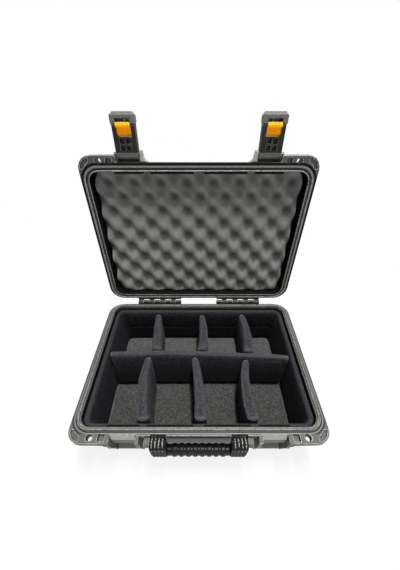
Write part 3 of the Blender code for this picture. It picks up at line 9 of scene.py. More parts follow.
import bmesh
import bpy
import numpy as np
from mathutils import Matrix, Vector, noise


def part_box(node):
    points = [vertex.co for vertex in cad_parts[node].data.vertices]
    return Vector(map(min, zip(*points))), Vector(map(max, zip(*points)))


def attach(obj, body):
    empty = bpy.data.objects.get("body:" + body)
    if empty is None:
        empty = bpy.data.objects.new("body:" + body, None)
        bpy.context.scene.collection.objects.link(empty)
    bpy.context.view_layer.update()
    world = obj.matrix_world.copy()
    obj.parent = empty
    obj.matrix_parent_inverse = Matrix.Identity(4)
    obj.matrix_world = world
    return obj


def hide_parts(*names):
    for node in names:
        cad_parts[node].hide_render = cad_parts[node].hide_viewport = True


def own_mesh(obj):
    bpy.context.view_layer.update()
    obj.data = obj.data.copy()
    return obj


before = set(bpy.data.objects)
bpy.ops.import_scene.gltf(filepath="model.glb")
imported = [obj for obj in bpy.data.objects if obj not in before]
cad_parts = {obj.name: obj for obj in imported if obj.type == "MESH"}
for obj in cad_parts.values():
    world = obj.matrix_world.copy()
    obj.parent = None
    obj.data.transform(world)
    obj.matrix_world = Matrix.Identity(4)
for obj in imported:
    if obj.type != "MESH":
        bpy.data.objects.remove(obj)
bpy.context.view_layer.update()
scene = bpy.context.scene

# The photograph's view
CAMERA_PLACE = (0.0, -0.2937, 0.60235)
CAMERA_PITCH_DEG = 44.9
CAMERA_LENS = 15.46
CAMERA_SHIFT = (0.0021, 0.0263)

# The opened lid: its hinge axis, the angle that it has turned through, and its rim's height when closed
LID_HINGE = Vector((0.0, 0.180, 0.1234))
LID_TURN = math.radians(-97.0)
LID_PLANE = 0.1264

# Sizes shared with the solids: the well's walls, and the latches' pivots with the lid closed
INNER_HALF = 0.222
INNER_BACK = 0.1598
INNER_FRONT = -0.1442
INNER_CORNER = 0.0240
LATCH_X = 0.136
LATCH_Y = -0.1672
LATCH_Z = 0.1394
LATCH_TURN = math.radians(-90.0)

# Boxes painted pale or dark: low corner, high corner (X is measured outwards) and soft width.
# The latches' are with the lid open, and the lug's is with the lid closed. The catch slope, lug and
# pivot boxes are painted highlights, the latch head's is wear with a painted highlight, the handle's is
# painted shade under the rim behind the handle, and the back one is a near-black matt band on the back rim
CATCH_SLOPE_HIGHLIGHT = ((0.1140, -0.1640, 0.1130), (0.1580, -0.1540, 0.1252), 0.0005)
LUG_HIGHLIGHT = ((0.0985, -0.1850, 0.1275), (0.1120, -0.1585, 0.1500), 0.0008)
HEAD_WEAR_AND_HIGHLIGHT = ((0.1000, 0.2000, 0.5175), (0.1700, 0.3000, 0.5500), 0.0060)
PIVOT_HIGHLIGHT = ((0.1150, 0.2000, 0.4620), (0.1570, 0.2380, 0.4720), 0.0010)
HANDLE_SHADE = ((-0.0100, -0.1560, 0.0930), (0.0535, -0.1430, 0.1203), 0.0040)
BACK_RIM_DARK_BAND = ((-0.0100, 0.1680, 0.1180), (0.2100, 0.1760, 0.1290), 0.0006)

# Painted highlights on the crests of the ridges on the handle's shoulders
RIDGE_CENTRE_X = 0.0732
RIDGE_PITCH = 0.0063
RIDGE_CREST_HALF = 0.0006
RIDGE_TOP_LOW_Z = 0.1203
RIDGE_FRONT_LOW_Z, RIDGE_FRONT_HIGH_Z = 0.1085, 0.1140
RIDGE_SOFT = 0.0008
RIDGE_HIGHLIGHT_COLOR = (0.42, 0.42, 0.41)

# Lines of painted shade (dark) and painted highlight (pale) round the rims: the heights between which
# they show, then for each line how far outwards from the well's wall it starts and ends, and its share
RimLines = namedtuple("RimLines", "low high dark pale")
BASE_RIM = RimLines(
    low=0.1210,
    high=0.1290,
    dark=((-0.0070, -0.0024, 1.0), (0.0055, 0.0070, 0.75), (0.0102, 0.0130, 0.45)),
    pale=((-0.0012, 0.0044, 0.10), (0.0078, 0.0092, 0.28)),
)
LID_RIM = RimLines(
    low=LID_PLANE - 0.0020,
    high=LID_PLANE + 0.0035,
    dark=((-0.0070, -0.0028, 1.0), (0.0014, 0.0038, 0.45), (0.0084, 0.0128, 0.85)),
    pale=((-0.0022, 0.0004, 0.10), (0.0050, 0.0074, 0.34)),
)
LINE_SOFT = 0.0004
HEIGHT_SOFT = 0.0010
FRONT_LEDGE_Y, FRONT_LEDGE_SOFT = -0.1535, 0.0006

# The lid's well, painted with shade: its heights with the lid closed, and how far outwards it reaches
LID_WELL_LOW, LID_WELL_HIGH = LID_RIM.high, 0.1640
LID_WELL_EDGE, LID_WELL_SOFT = 0.0012, 0.0008

# Fabric: the strip of painted shade under the base's inner lip, and the heights between which painted shade
# deepens down in the case
UNDER_LIP_START, UNDER_LIP_END = -0.0056, -0.0048
FABRIC_PALE_Z, FABRIC_DEEP_Z = 0.108, 0.045

# Felt: where painted shade darkens it towards the front and painted light pales it towards the back
FELT_PAINTED_SHADE_Y = (0.03, -0.10)
FELT_PAINTED_LIGHT_Y = (0.02, 0.12)


def turned_about(pivot, angle):
    """A turn about a line along X through a point."""
    return Matrix.Translation(pivot) @ Matrix.Rotation(angle, 4, "X") @ Matrix.Translation(-pivot)


def lid_place():
    """The turn that takes a point of the closed lid to the opened one."""
    return turned_about(LID_HINGE, LID_TURN)


def latch_place():
    """The turn that takes a point of the closed latch to the opened one on the opened lid."""
    return lid_place() @ turned_about(Vector((0.0, LATCH_Y, LATCH_Z)), LATCH_TURN)


# Materials


def toned(color, factor):
    """A colour made darker or paler."""
    return [part * factor for part in color]


class Amount:
    """A number that varies over a surface; Python's operators add its Math nodes."""

    def __init__(self, graph, socket):
        self.graph = graph
        self.socket = socket

    def through(self, operation, first, second=0.0):
        node = self.graph.node("ShaderNodeMath", {"operation": operation}, {0: first, 1: second})
        return Amount(self.graph, node.outputs[0])

    def __add__(self, other):
        return self.through("ADD", self, other)

    def __sub__(self, other):
        return self.through("SUBTRACT", self, other)

    def __rsub__(self, other):
        return self.through("SUBTRACT", other, self)

    def __mul__(self, other):
        return self.through("MULTIPLY", self, other)

    def __truediv__(self, other):
        return self.through("DIVIDE", self, other)

    def above(self, other):
        return self.through("MAXIMUM", self, other)

    def below(self, other):
        return self.through("MINIMUM", self, other)

    def size(self):
        return self.through("ABSOLUTE", self)

    def sine(self):
        return self.through("SINE", self)

    def cosine(self):
        return self.through("COSINE", self)

    def root(self):
        return self.through("SQRT", self)

    def sign(self):
        return self.through("SIGN", self)

    def nearest_whole(self):
        return self.through("ROUND", self)

    __radd__ = __add__
    __rmul__ = __mul__


class Graph:
    """A node tree as it is put together."""

    def __init__(self, tree):
        self.tree = tree

    def node(self, kind, settings=None, inputs=None):
        """Adds a node: its settings first, then the values or links of its sockets."""
        made = self.tree.nodes.new(kind)
        for setting, value in (settings or {}).items():
            setattr(made, setting, value)
        for socket, value in (inputs or {}).items():
            if isinstance(value, Amount):
                value = value.socket
            if isinstance(value, bpy.types.NodeSocket):
                self.tree.links.new(value, made.inputs[socket])
            else:
                made.inputs[socket].default_value = value
        return made

    def apart(self, vector):
        """The three numbers of a vector."""
        parts = self.node("ShaderNodeSeparateXYZ", None, {0: vector}).outputs
        return [Amount(self, part) for part in parts]


class Recipe(Graph):
    """A Geometry Nodes tree as it is put together, with a named input for each size."""

    def __init__(self, name, sizes):
        super().__init__(bpy.data.node_groups.new(name, "GeometryNodeTree"))
        self.sizes = sizes
        sockets = self.tree.interface
        sockets.new_socket("Geometry", in_out="OUTPUT", socket_type="NodeSocketGeometry")
        self.keys = {}
        for label, value in sizes.items():
            kind = "NodeSocketInt" if isinstance(value, int) else "NodeSocketFloat"
            self.keys[label] = sockets.new_socket(label, in_out="INPUT", socket_type=kind).identifier
        self.given = self.node("NodeGroupInput").outputs

    def size(self, label):
        """One of the recipe's named inputs."""
        return Amount(self, self.given[label])

    def together(self, x, y, z):
        """A vector of three numbers."""
        return self.node("ShaderNodeCombineXYZ", None, {0: x, 1: y, 2: z}).outputs[0]

    def make(self, name, shape, material):
        """Ends the tree with real geometry and its material, and makes an object with a plain mesh of it."""
        shape = self.node("GeometryNodeRealizeInstances", None, {0: shape}).outputs[0]
        covered = {"Geometry": shape, "Material": material}
        shape = self.node("GeometryNodeSetMaterial", None, covered).outputs[0]
        self.node("NodeGroupOutput", None, {0: shape})
        item = add_object(name, bpy.data.meshes.new(name))
        nodes = item.modifiers.new("Recipe", "NODES")
        nodes.node_group = self.tree
        for label, value in self.sizes.items():
            nodes[self.keys[label]] = value
        return apply_modifiers(item)


class Finish(Graph):
    """A material as it is put together."""

    def __init__(self, name, **shader_values):
        self.material = bpy.data.materials.new(name)
        self.material.use_nodes = True
        super().__init__(self.material.node_tree)
        self.shader = self.tree.nodes["Principled BSDF"]
        for socket, value in shader_values.items():
            self.shader.inputs[socket.replace("_", " ").title().replace("Ior", "IOR")].default_value = value
        self.place = self.node("ShaderNodeTexCoord").outputs["Object"]

    def noise(self, scale, detail=2.0, roughness=0.5, place=None):
        """A cloudy pattern of the given number of waves to the metre."""
        sockets = {"Vector": place or self.place, "Scale": scale, "Detail": detail, "Roughness": roughness}
        return Amount(self, self.node("ShaderNodeTexNoise", None, sockets).outputs[0])

    def cells(self, scale, place=None):
        """The distance to the nearest of many scattered points."""
        sockets = {"Vector": place or self.place, "Scale": scale}
        return Amount(self, self.node("ShaderNodeTexVoronoi", None, sockets).outputs["Distance"])

    def closed_lid(self):
        """The place of a point of the opened lid when the lid is closed."""
        back = lid_place().inverted()
        turn = {"Vector": self.place, "Location": back.to_translation(), "Rotation": back.to_euler()}
        return self.node("ShaderNodeMapping", None, turn).outputs[0]

    def within(self, low, high, soft, place):
        """1 inside a box that lies alike on both sides of the case, fading out over the soft width."""
        x, y, z = self.apart(place)
        share = None
        for axis, value in enumerate((x.size(), y, z)):
            side = self.step(value, low[axis] - soft, low[axis])
            side = side - self.step(value, high[axis], high[axis] + soft)
            share = side if share is None else share * side
        return share

    def outwards(self, place):
        """How far a point lies outside the well's wall, in metres; corners are followed round."""
        x, y, _ = self.apart(place)
        middle = (INNER_FRONT + INNER_BACK) / 2
        over_x = x.size() - (INNER_HALF - INNER_CORNER)
        over_y = (y - middle).size() - ((INNER_BACK - INNER_FRONT) / 2 - INNER_CORNER)
        beyond = over_x.above(0.0) * over_x.above(0.0) + over_y.above(0.0) * over_y.above(0.0)
        return beyond.root() + over_x.above(over_y).below(0.0) - INNER_CORNER

    def between(self, height, low, high):
        """1 from the low to the high height, with soft ends above each."""
        return self.step(height, low, low + HEIGHT_SOFT) - self.step(height, high, high + HEIGHT_SOFT)

    def lines(self, away, bands):
        """The strongest share of the lines that a point at this distance outwards lies on."""
        share = None
        for near, far, strength in bands:
            line = self.step(away, near - LINE_SOFT, near + LINE_SOFT)
            line = (line - self.step(away, far - LINE_SOFT, far + LINE_SOFT)) * strength
            share = line if share is None else share.above(line)
        return share

    def stretched(self, factors):
        """The object's coordinates, stretched along each axis."""
        return self.node("ShaderNodeMapping", None, {"Vector": self.place, "Scale": factors}).outputs[0]

    def painted(self, name):
        """A number stored at the mesh's points."""
        found = self.node("ShaderNodeAttribute", {"attribute_name": name}).outputs["Fac"]
        return Amount(self, found)

    def step(self, amount, low, high, start=0.0, end=1.0):
        """A smooth step from start to end as the amount goes from low to high."""
        sockets = {"Value": amount, "From Min": low, "From Max": high, "To Min": start, "To Max": end}
        node = self.node("ShaderNodeMapRange", {"interpolation_type": "SMOOTHSTEP"}, sockets)
        return Amount(self, node.outputs[0])

    def blend(self, share, first, second):
        """A colour between two others."""
        ends = {0: share}
        for index, color in ((6, first), (7, second)):
            ends[index] = color if isinstance(color, bpy.types.NodeSocket) else (*color, 1.0)
        return self.node("ShaderNodeMix", {"data_type": "RGBA"}, ends).outputs[2]

    def bump(self, height, distance, before=None):
        """A bump of the given height in metres."""
        sockets = {"Height": height, "Distance": distance}
        if before is not None:
            sockets["Normal"] = before
        return self.node("ShaderNodeBump", None, sockets).outputs[0]

    def matt_where(self, share, color):
        """Takes the gloss off where the share is 1."""
        matt = self.node("ShaderNodeBsdfDiffuse", None, {"Color": (*color, 1.0)}).outputs[0]
        ends = {0: share, 1: self.shader.outputs[0], 2: matt}
        mixed = self.node("ShaderNodeMixShader", None, ends).outputs[0]
        self.tree.links.new(mixed, self.tree.nodes["Material Output"].inputs["Surface"])

    def feed(self, socket, value):
        """Links a value to one of the shader's own sockets."""
        self.tree.links.new(value.socket if isinstance(value, Amount) else value, self.shader.inputs[socket])


def moulded_plastic(name, color, wear_and_highlight_color, rough=0.46, level=0.32, highlights_and_wear=(), darkened_boxes=(), rim=None, on_lid=False):
    """Moulded plastic with a fine eroded grain, paler along its edges, which is wear and a painted highlight,
    and with painted shade in its inner corners.

    Boxes may be painted pale, mostly as painted highlights, or painted near-black and matt. A rim has its
    painted lines of highlight and shade. A lid is painted as it lies when closed.
    """
    finish = Finish(name, specular_ior_level=level)
    place = finish.closed_lid() if on_lid else finish.place
    cloud = finish.noise(11.0, 3.0)
    grit = finish.noise(1300.0, 2.0, 0.6)
    patch_noise = finish.noise(240.0, 4.0, 0.7)
    # Pale on the edges' bevels where the noise allows: wear, and a painted highlight along each edge
    wear_and_highlight_share = finish.painted("edge") * finish.step(patch_noise, 0.30, 0.62)
    # Boxes painted pale: painted highlights, and on the latch head wear as well
    for low, high, soft in highlights_and_wear:
        patchy = finish.step(patch_noise, 0.28, 0.72, 0.62, 0.88)
        wear_and_highlight_share = wear_and_highlight_share.above(finish.within(low, high, soft, place) * patchy)
    # The rim's pale lines are painted highlights
    if rim:
        _, y, z = finish.apart(place)
        away = finish.outwards(place)
        on_rim = finish.between(z, rim.low, rim.high)
        if not on_lid:
            on_rim = on_rim * finish.step(y, FRONT_LEDGE_Y - FRONT_LEDGE_SOFT, FRONT_LEDGE_Y)
        wear_and_highlight_share = wear_and_highlight_share.above(finish.lines(away, rim.pale) * on_rim)
    base = finish.blend(finish.step(cloud, 0.3, 0.7), toned(color, 0.93), toned(color, 1.07))
    base = finish.blend(finish.step(grit, 0.45, 0.75) * 0.30, base, toned(color, 1.6))
    base = finish.blend(wear_and_highlight_share, base, wear_and_highlight_color)
    # Painted shade in the inner corners' bevels
    dark = finish.painted("hollow") * 0.8
    # The rim's dark lines are painted shade
    if rim:
        dark = dark.above(finish.lines(away, rim.dark) * on_rim)
        # Painted shade over the lid's well
        if on_lid:
            in_well = finish.step(away, LID_WELL_EDGE + LID_WELL_SOFT, LID_WELL_EDGE)
            dark = dark.above(in_well * finish.between(z, LID_WELL_LOW, LID_WELL_HIGH) * 0.9)
    # Boxes painted near-black and matt: painted shade behind the handle, and the dark band along the back rim
    for low, high, soft in darkened_boxes:
        dark = dark.above(finish.within(low, high, soft, place) * 0.9)
    finish.feed("Base Color", finish.blend(dark, base, toned(color, 0.12)))
    finish.feed("Roughness", (rough + 0.08 * cloud - 0.06 * wear_and_highlight_share).above(dark))
    finish.feed("Normal", finish.bump(grit, 0.00005))
    # The painted shade is also matt, so that it shows no reflection
    finish.matt_where(dark, toned(color, 0.12))
    return finish.material


def brushed_loop_fabric(name, color, pile_and_sheen_color, deep_shade_share):
    """Near-black loop fabric over foam: a soft pile, paler over its edges, which is the pile and a painted
    sheen, with painted shade down in the case and under the lip.
    """
    finish = Finish(name, roughness=0.95, specular_ior_level=0.08, sheen_weight=0.25, sheen_roughness=0.5)
    finish.shader.inputs["Sheen Tint"].default_value = (*pile_and_sheen_color, 1.0)
    tuft = finish.cells(560.0)
    fine = finish.noise(950.0, 3.0, 0.75)
    lint = finish.noise(420.0, 2.0, 0.6)
    pile = finish.noise(300.0, 2.0, 0.6)
    cloud = finish.noise(30.0, 4.0, 0.6)
    # Paler over the edges: the pile spreading there, and a painted sheen
    edge_pile_and_sheen = finish.painted("edge") * finish.step(fine, 0.25, 0.75, 0.55, 1.0)
    base = finish.blend(finish.step(cloud, 0.25, 0.75), toned(color, 0.72), toned(color, 1.28))
    base = finish.blend(finish.step(fine, 0.40, 0.70), base, toned(color, 1.9))
    base = finish.blend(finish.step(pile, 0.52, 0.66) * 0.75, base, toned(color, 2.8))
    base = finish.blend(finish.step(pile, 0.48, 0.36) * 0.80, base, toned(color, 0.35))
    base = finish.blend(edge_pile_and_sheen, base, pile_and_sheen_color)
    base = finish.blend(finish.step(lint, 0.66, 0.76) * 0.55, base, toned(pile_and_sheen_color, 1.3))
    # Painted shade that deepens down in the case
    z = finish.apart(finish.place)[2]
    base = finish.blend(finish.step(z, FABRIC_PALE_Z, FABRIC_DEEP_Z) * deep_shade_share, base, toned(color, 0.3))
    # Painted shade on the strip under the base's inner lip
    under_lip = finish.step(finish.outwards(finish.place), UNDER_LIP_START, UNDER_LIP_END)
    finish.feed("Base Color", finish.blend(under_lip, base, toned(color, 0.1)))
    lumps = finish.bump(cloud, 0.0016)
    piled = finish.bump(tuft, 0.0007, lumps)
    finish.feed("Normal", finish.bump(fine, 0.0006, piled))
    return finish.material


def speckled_felt(name, color):
    """Grey felt flecked with pale and dark fibres, with painted shade in front and painted light at the back.
    """
    finish = Finish(name, roughness=0.95, specular_ior_level=0.08, sheen_weight=0.15, sheen_roughness=0.5)
    fleck = finish.noise(300.0, 3.0, 0.7, finish.stretched((1.0, 1.4, 1.0)))
    clump = finish.noise(170.0, 3.0, 0.7)
    fine = finish.noise(1100.0, 2.0, 0.7)
    cloud = finish.noise(18.0, 3.0)
    base = finish.blend(finish.step(clump, 0.32, 0.68), toned(color, 0.50), toned(color, 1.20))
    base = finish.blend(finish.step(fine, 0.55, 0.75) * 0.5, base, toned(color, 2.0))
    base = finish.blend(finish.step(fleck, 0.57, 0.68) * 0.9, base, toned(color, 3.2))
    base = finish.blend(finish.step(cloud, 0.55, 0.85) * 0.3, base, toned(color, 0.55))
    y = finish.apart(finish.place)[1]
    # Painted shade towards the front and painted light towards the back
    base = finish.blend(finish.step(y, *FELT_PAINTED_SHADE_Y) * 0.28, base, toned(color, 0.5))
    base = finish.blend(finish.step(y, *FELT_PAINTED_LIGHT_Y) * 0.22, base, toned(color, 2.2))
    finish.feed("Base Color", base)
    finish.feed("Normal", finish.bump(fleck + clump, 0.0008))
    return finish.material


def open_cell_foam(name, color):
    """Grey open-cell foam, with painted shade down in its pits."""
    finish = Finish(name, roughness=0.95, specular_ior_level=0.08)
    cell = finish.cells(820.0)
    grit = finish.noise(620.0, 3.0, 0.75)
    cloud = finish.noise(14.0, 3.0)
    base = finish.blend(finish.step(cell, 0.15, 0.55), toned(color, 0.82), toned(color, 1.12))
    base = finish.blend(finish.step(grit, 0.58, 0.74) * 0.65, base, toned(color, 2.1))
    base = finish.blend(finish.step(cloud, 0.35, 0.75) * 0.2, base, toned(color, 0.8))
    # Painted shade by the depth of the pits
    finish.feed("Base Color", finish.blend(finish.painted("pit") * 0.85, base, toned(color, 0.20)))
    finish.feed("Normal", finish.bump(cell + grit * 0.8, 0.0006))
    return finish.material


def soft_rubber(name, color, rough, level, ridged=False):
    """Black moulded rubber with a slight bloom, and painted highlights along its edges and on the crests of
    its ridges.
    """
    finish = Finish(name, specular_ior_level=level)
    bloom = finish.noise(60.0, 3.0)
    base = finish.blend(finish.step(bloom, 0.45, 0.8), color, toned(color, 1.6))
    # Painted highlights along the edges' bevels
    base = finish.blend(finish.painted("edge") * 0.35, base, toned(color, 9.0))
    # Painted highlights on the ridges' crests, on their tops and fronts
    if ridged:
        x, _, z = finish.apart(finish.place)
        along = (x.size() - (RIDGE_CENTRE_X + RIDGE_PITCH / 2)) / RIDGE_PITCH
        off_crest = (along - along.nearest_whole()).size() * RIDGE_PITCH
        crest = finish.step(off_crest, 2 * RIDGE_CREST_HALF, RIDGE_CREST_HALF)
        top = finish.step(z, RIDGE_TOP_LOW_Z, RIDGE_TOP_LOW_Z + RIDGE_SOFT)
        front = finish.step(z, RIDGE_FRONT_LOW_Z, RIDGE_FRONT_LOW_Z + RIDGE_SOFT)
        front = front - finish.step(z, RIDGE_FRONT_HIGH_Z, RIDGE_FRONT_HIGH_Z + RIDGE_SOFT)
        patchy = finish.step(finish.noise(420.0, 2.0), 0.35, 0.6)
        base = finish.blend(crest * (top + front * 0.8) * patchy, base, RIDGE_HIGHLIGHT_COLOR)
    finish.feed("Base Color", base)
    finish.feed("Roughness", rough + 0.12 * bloom)
    finish.feed("Normal", finish.bump(finish.noise(1600.0, 2.0, 0.6), 0.00003))
    return finish.material


def drawn_steel(name, color, rough):
    """Steel wire or rod, drawn along X."""
    finish = Finish(name, metallic=1.0)
    streak = finish.noise(1800.0, 2.0, 0.6, finish.stretched((0.04, 1.0, 1.0)))
    finish.feed("Base Color", finish.blend(streak, toned(color, 0.85), toned(color, 1.1)))
    finish.feed("Roughness", rough + 0.15 * streak)
    return finish.material


def orange_plastic(name, color, pale):
    """Semi-gloss orange plastic, with painted highlights on its edges and painted shade in its corners."""
    finish = Finish(name, specular_ior_level=0.1)
    cloud = finish.noise(160.0, 3.0)
    base = finish.blend(finish.step(cloud, 0.35, 0.7), toned(color, 0.95), color)
    # Painted highlights along the edges' bevels
    base = finish.blend(finish.painted("edge") * 0.75, base, pale)
    # Painted shade in the inner corners' bevels
    finish.feed("Base Color", finish.blend(finish.painted("hollow") * 0.8, base, toned(color, 0.45)))
    finish.feed("Roughness", 0.34 + 0.1 * cloud)
    finish.feed("Normal", finish.bump(finish.noise(1500.0, 2.0), 0.00002))
    return finish.material


shell_finish = moulded_plastic(
    "shell_charcoal",
    (0.084, 0.0855, 0.080),
    wear_and_highlight_color=(0.42, 0.425, 0.405),
    highlights_and_wear=[CATCH_SLOPE_HIGHLIGHT],
    darkened_boxes=[HANDLE_SHADE, BACK_RIM_DARK_BAND],
    rim=BASE_RIM,
)
lid_finish = moulded_plastic(
    "lid_charcoal",
    (0.050, 0.0515, 0.0485),
    wear_and_highlight_color=(0.40, 0.402, 0.392),
    highlights_and_wear=[LUG_HIGHLIGHT],
    rim=LID_RIM,
    on_lid=True,
)
latch_finish = moulded_plastic(
    "latch_charcoal",
    (0.014, 0.0135, 0.0115),
    wear_and_highlight_color=(0.160, 0.161, 0.148),
    rough=0.5,
    level=0.14,
    highlights_and_wear=[HEAD_WEAR_AND_HIGHLIGHT, PIVOT_HIGHLIGHT],
)
handle_finish = soft_rubber("handle_black", (0.0045, 0.0045, 0.005), rough=0.50, level=0.12, ridged=True)
grip_finish = soft_rubber("grip_black", (0.005, 0.005, 0.006), rough=0.30, level=0.14)
seal_finish = soft_rubber("seal_grey", (0.034, 0.035, 0.034), rough=0.6, level=0.2)
liner_finish = brushed_loop_fabric("liner_fabric", (0.0185, 0.0190, 0.0225), (0.100, 0.101, 0.112), 0.35)
divider_finish = brushed_loop_fabric("divider_fabric", (0.0215, 0.0220, 0.0255), (0.230, 0.232, 0.246), 0.88)
felt_finish = speckled_felt("floor_felt", (0.072, 0.073, 0.070))
foam_finish = open_cell_foam("lid_foam_grey", (0.205, 0.206, 0.196))
lever_finish = orange_plastic("lever_orange", (1.0, 0.350, 0.001), pale=(1.0, 0.62, 0.06))
pin_finish = drawn_steel("pin_steel", (0.50, 0.50, 0.51), rough=0.28)
spring_finish = drawn_steel("spring_steel", (0.72, 0.71, 0.68), rough=0.22)

# Meshes

JOIN_DISTANCE = 0.000005
FLAT_ANGLE = math.radians(0.4)
SHARP_ANGLE = math.radians(32.0)
TINY = 0.00001


def add_object(name, mesh):
    """A new object at the origin."""
    item = bpy.data.objects.new(name, mesh)
    scene.collection.objects.link(item)
    return item


def evaluated_mesh(item):
    """The item's mesh with its modifiers applied."""
    bpy.context.view_layer.update()
    return bpy.data.meshes.new_from_object(item.evaluated_get(bpy.context.evaluated_depsgraph_get()))


def apply_modifiers(item):
    """Bakes the item's modifiers into its mesh."""
    mesh = evaluated_mesh(item)
    item.modifiers.clear()
    item.data = mesh
    return item


def node_copy(node, name):
    """A copy of a CAD node with its triangles joined at their points and flat faces made whole."""
    shape = bmesh.new()
    shape.from_mesh(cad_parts[node].data)
    bmesh.ops.remove_doubles(shape, verts=shape.verts, dist=JOIN_DISTANCE)
    bmesh.ops.dissolve_limit(shape, angle_limit=FLAT_ANGLE, verts=shape.verts, edges=shape.edges)
    mesh = bpy.data.meshes.new(name)
    shape.to_mesh(mesh)
    shape.free()
    return add_object(name, mesh)


def paint_edges(item, reach, rounds):
    """Stores at each point how sharply the surface turns outwards, from 0 to 1 at a radius near the reach."""
    shape = bmesh.new()
    shape.from_mesh(item.data)
    shape.normal_update()
    sharpness = np.zeros(len(shape.verts))
    for point in shape.verts:
        if not point.link_edges:
            continue
        turn = 0.0
        for edge in point.link_edges:
            away = edge.other_vert(point).co - point.co
            length = max(away.length, TINY)
            turn -= away.dot(point.normal) / (length * length)
        sharpness[point.index] = turn / len(point.link_edges)
    for _ in range(rounds):
        smoothed = sharpness.copy()
        for point in shape.verts:
            near = [sharpness[edge.other_vert(point).index] for edge in point.link_edges]
            smoothed[point.index] = (sharpness[point.index] + sum(near)) / (1 + len(near))
        sharpness = smoothed
    values = np.clip(sharpness * reach, 0.0, 1.0)
    shape.free()
    layer = item.data.attributes.new("edge", "FLOAT", "POINT")
    layer.data.foreach_set("value", values.astype(np.float32))


def shade(item, angle=SHARP_ANGLE):
    """Smooth shading up to real edges."""
    item.data.shade_smooth()
    item.data.set_sharp_from_angle(angle=angle)


# Where inner corners are rounded less: round the hinge's axis, and at the heights where the halves meet
HINGE_REACH = 0.018
MEETING_LOW, MEETING_HIGH = 0.1248, 0.1278
CLOSE_FILLET_SHARE = 0.2

# The width of face, in bevel widths, that an edge needs for a whole bevel
BEVEL_ROOM = 2.4


def close_fitting(place):
    """Whether a point lies at the hinge, or where the closed lid and the base meet."""
    if math.hypot(place.y - LID_HINGE.y, place.z - LID_HINGE.z) < HINGE_REACH:
        return True
    closed = lid_place().inverted() @ place
    return MEETING_LOW < place.z < MEETING_HIGH or MEETING_LOW < closed.z < MEETING_HIGH


def mark_room(shape, width):
    """Gives each real edge the share of the bevel's width that its faces and the closed lid have room for."""
    weight = shape.edges.layers.float.new("bevel_weight_edge")
    for edge in shape.edges:
        if len(edge.link_faces) == 2 and edge.calc_face_angle(0.0) > SHARP_ANGLE:
            room = min(face.calc_area() for face in edge.link_faces) / max(edge.calc_length(), TINY)
            share = min(room / (BEVEL_ROOM * width), 1.0)
            middle = (edge.verts[0].co + edge.verts[1].co) / 2
            if not edge.is_convex and close_fitting(middle):
                share *= CLOSE_FILLET_SHARE
            edge[weight] = share


def paint_bevels(item):
    """Stores on each bevel face whether it rounds an outer edge or an inner corner."""
    shape = bmesh.new()
    shape.from_mesh(item.data)
    outer = shape.faces.layers.float.new("edge")
    inner = shape.faces.layers.float.new("hollow")
    for face in shape.faces:
        if face.material_index == 0:
            continue
        face.material_index = 0
        centre = face.calc_center_median()
        bend = 0.0
        for edge in face.edges:
            for other in edge.link_faces:
                if other is not face:
                    bend += (other.calc_center_median() - centre).normalized().dot(face.normal)
        face[outer if bend < 0 else inner] = 1.0
    shape.to_mesh(item.data)
    shape.free()


def dress(node, name, body, material, width, segments=2):
    """Stands for a rigid CAD node: the same shape with its edges rounded."""
    piece = node_copy(node, name)
    shade(piece)
    shape = bmesh.new()
    shape.from_mesh(piece.data)
    mark_room(shape, width)
    bmesh.ops.triangulate(shape, faces=shape.faces)
    shape.to_mesh(piece.data)
    shape.free()
    for _ in range(2):
        piece.data.materials.append(material)
    bevel = piece.modifiers.new("Rounded edges", "BEVEL")
    bevel.width = width
    bevel.segments = segments
    bevel.limit_method = "WEIGHT"
    bevel.use_clamp_overlap = False
    bevel.material = 1
    even = piece.modifiers.new("Even shading", "WEIGHTED_NORMAL")
    even.keep_sharp = True
    apply_modifiers(piece)
    paint_bevels(piece)
    piece.data.materials.pop(index=1)
    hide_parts(node)
    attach(piece, body)
    return piece


# Padded pieces

CLOTH_PRESSURE = 4.0
CLOTH_QUALITY = 4
CLOTH_FRAMES = 20


def swell(piece, voxel, cap):
    """Fills a piece out as cloth over soft foam, each point moving no further than the cap."""
    remesh = piece.modifiers.new("Even mesh", "REMESH")
    remesh.mode = "VOXEL"
    remesh.voxel_size = voxel
    apply_modifiers(piece)
    count = len(piece.data.vertices)
    start = np.empty(count * 3, np.float32)
    piece.data.vertices.foreach_get("co", start)
    start = start.reshape(-1, 3)
    cloth = piece.modifiers.new("Cloth", "CLOTH")
    cloth.settings.use_pressure = True
    cloth.settings.uniform_pressure_force = CLOTH_PRESSURE
    cloth.settings.effector_weights.gravity = 0.0
    cloth.settings.quality = CLOTH_QUALITY
    cloth.collision_settings.use_collision = False
    cloth.point_cache.frame_start = 1
    cloth.point_cache.frame_end = CLOTH_FRAMES
    for step in range(1, CLOTH_FRAMES + 1):
        scene.frame_set(step)
    mesh = evaluated_mesh(piece)
    end = np.empty(count * 3, np.float32)
    mesh.vertices.foreach_get("co", end)
    end = end.reshape(-1, 3)
    move = end - start
    far = np.maximum(np.linalg.norm(move, axis=1, keepdims=True), 1e-7)
    end = start + move / far * cap * np.tanh(far / cap)
    piece.modifiers.clear()
    scene.frame_set(1)
    piece.data.vertices.foreach_set("co", end.astype(np.float32).ravel())
    piece.data.update()
    smoother = piece.modifiers.new("Finer", "SUBSURF")
    smoother.levels = 1
    smoother.render_levels = 1
    apply_modifiers(piece)


def shift_points(piece, move):
    """Moves every point of a piece by move(place, normal)."""
    normals = [point.normal.copy() for point in piece.data.vertices]
    for point, normal in zip(piece.data.vertices, normals):
        point.co += move(point.co.copy(), normal)
    piece.data.update()


def wander(place, scale, seed):
    """A smooth random number from -1 to 1, of the given number of waves to the metre."""
    return noise.noise(Vector((place.x * scale + seed, place.y * scale, place.z * scale)))


SOFT_EDGE_REACH = 0.0064


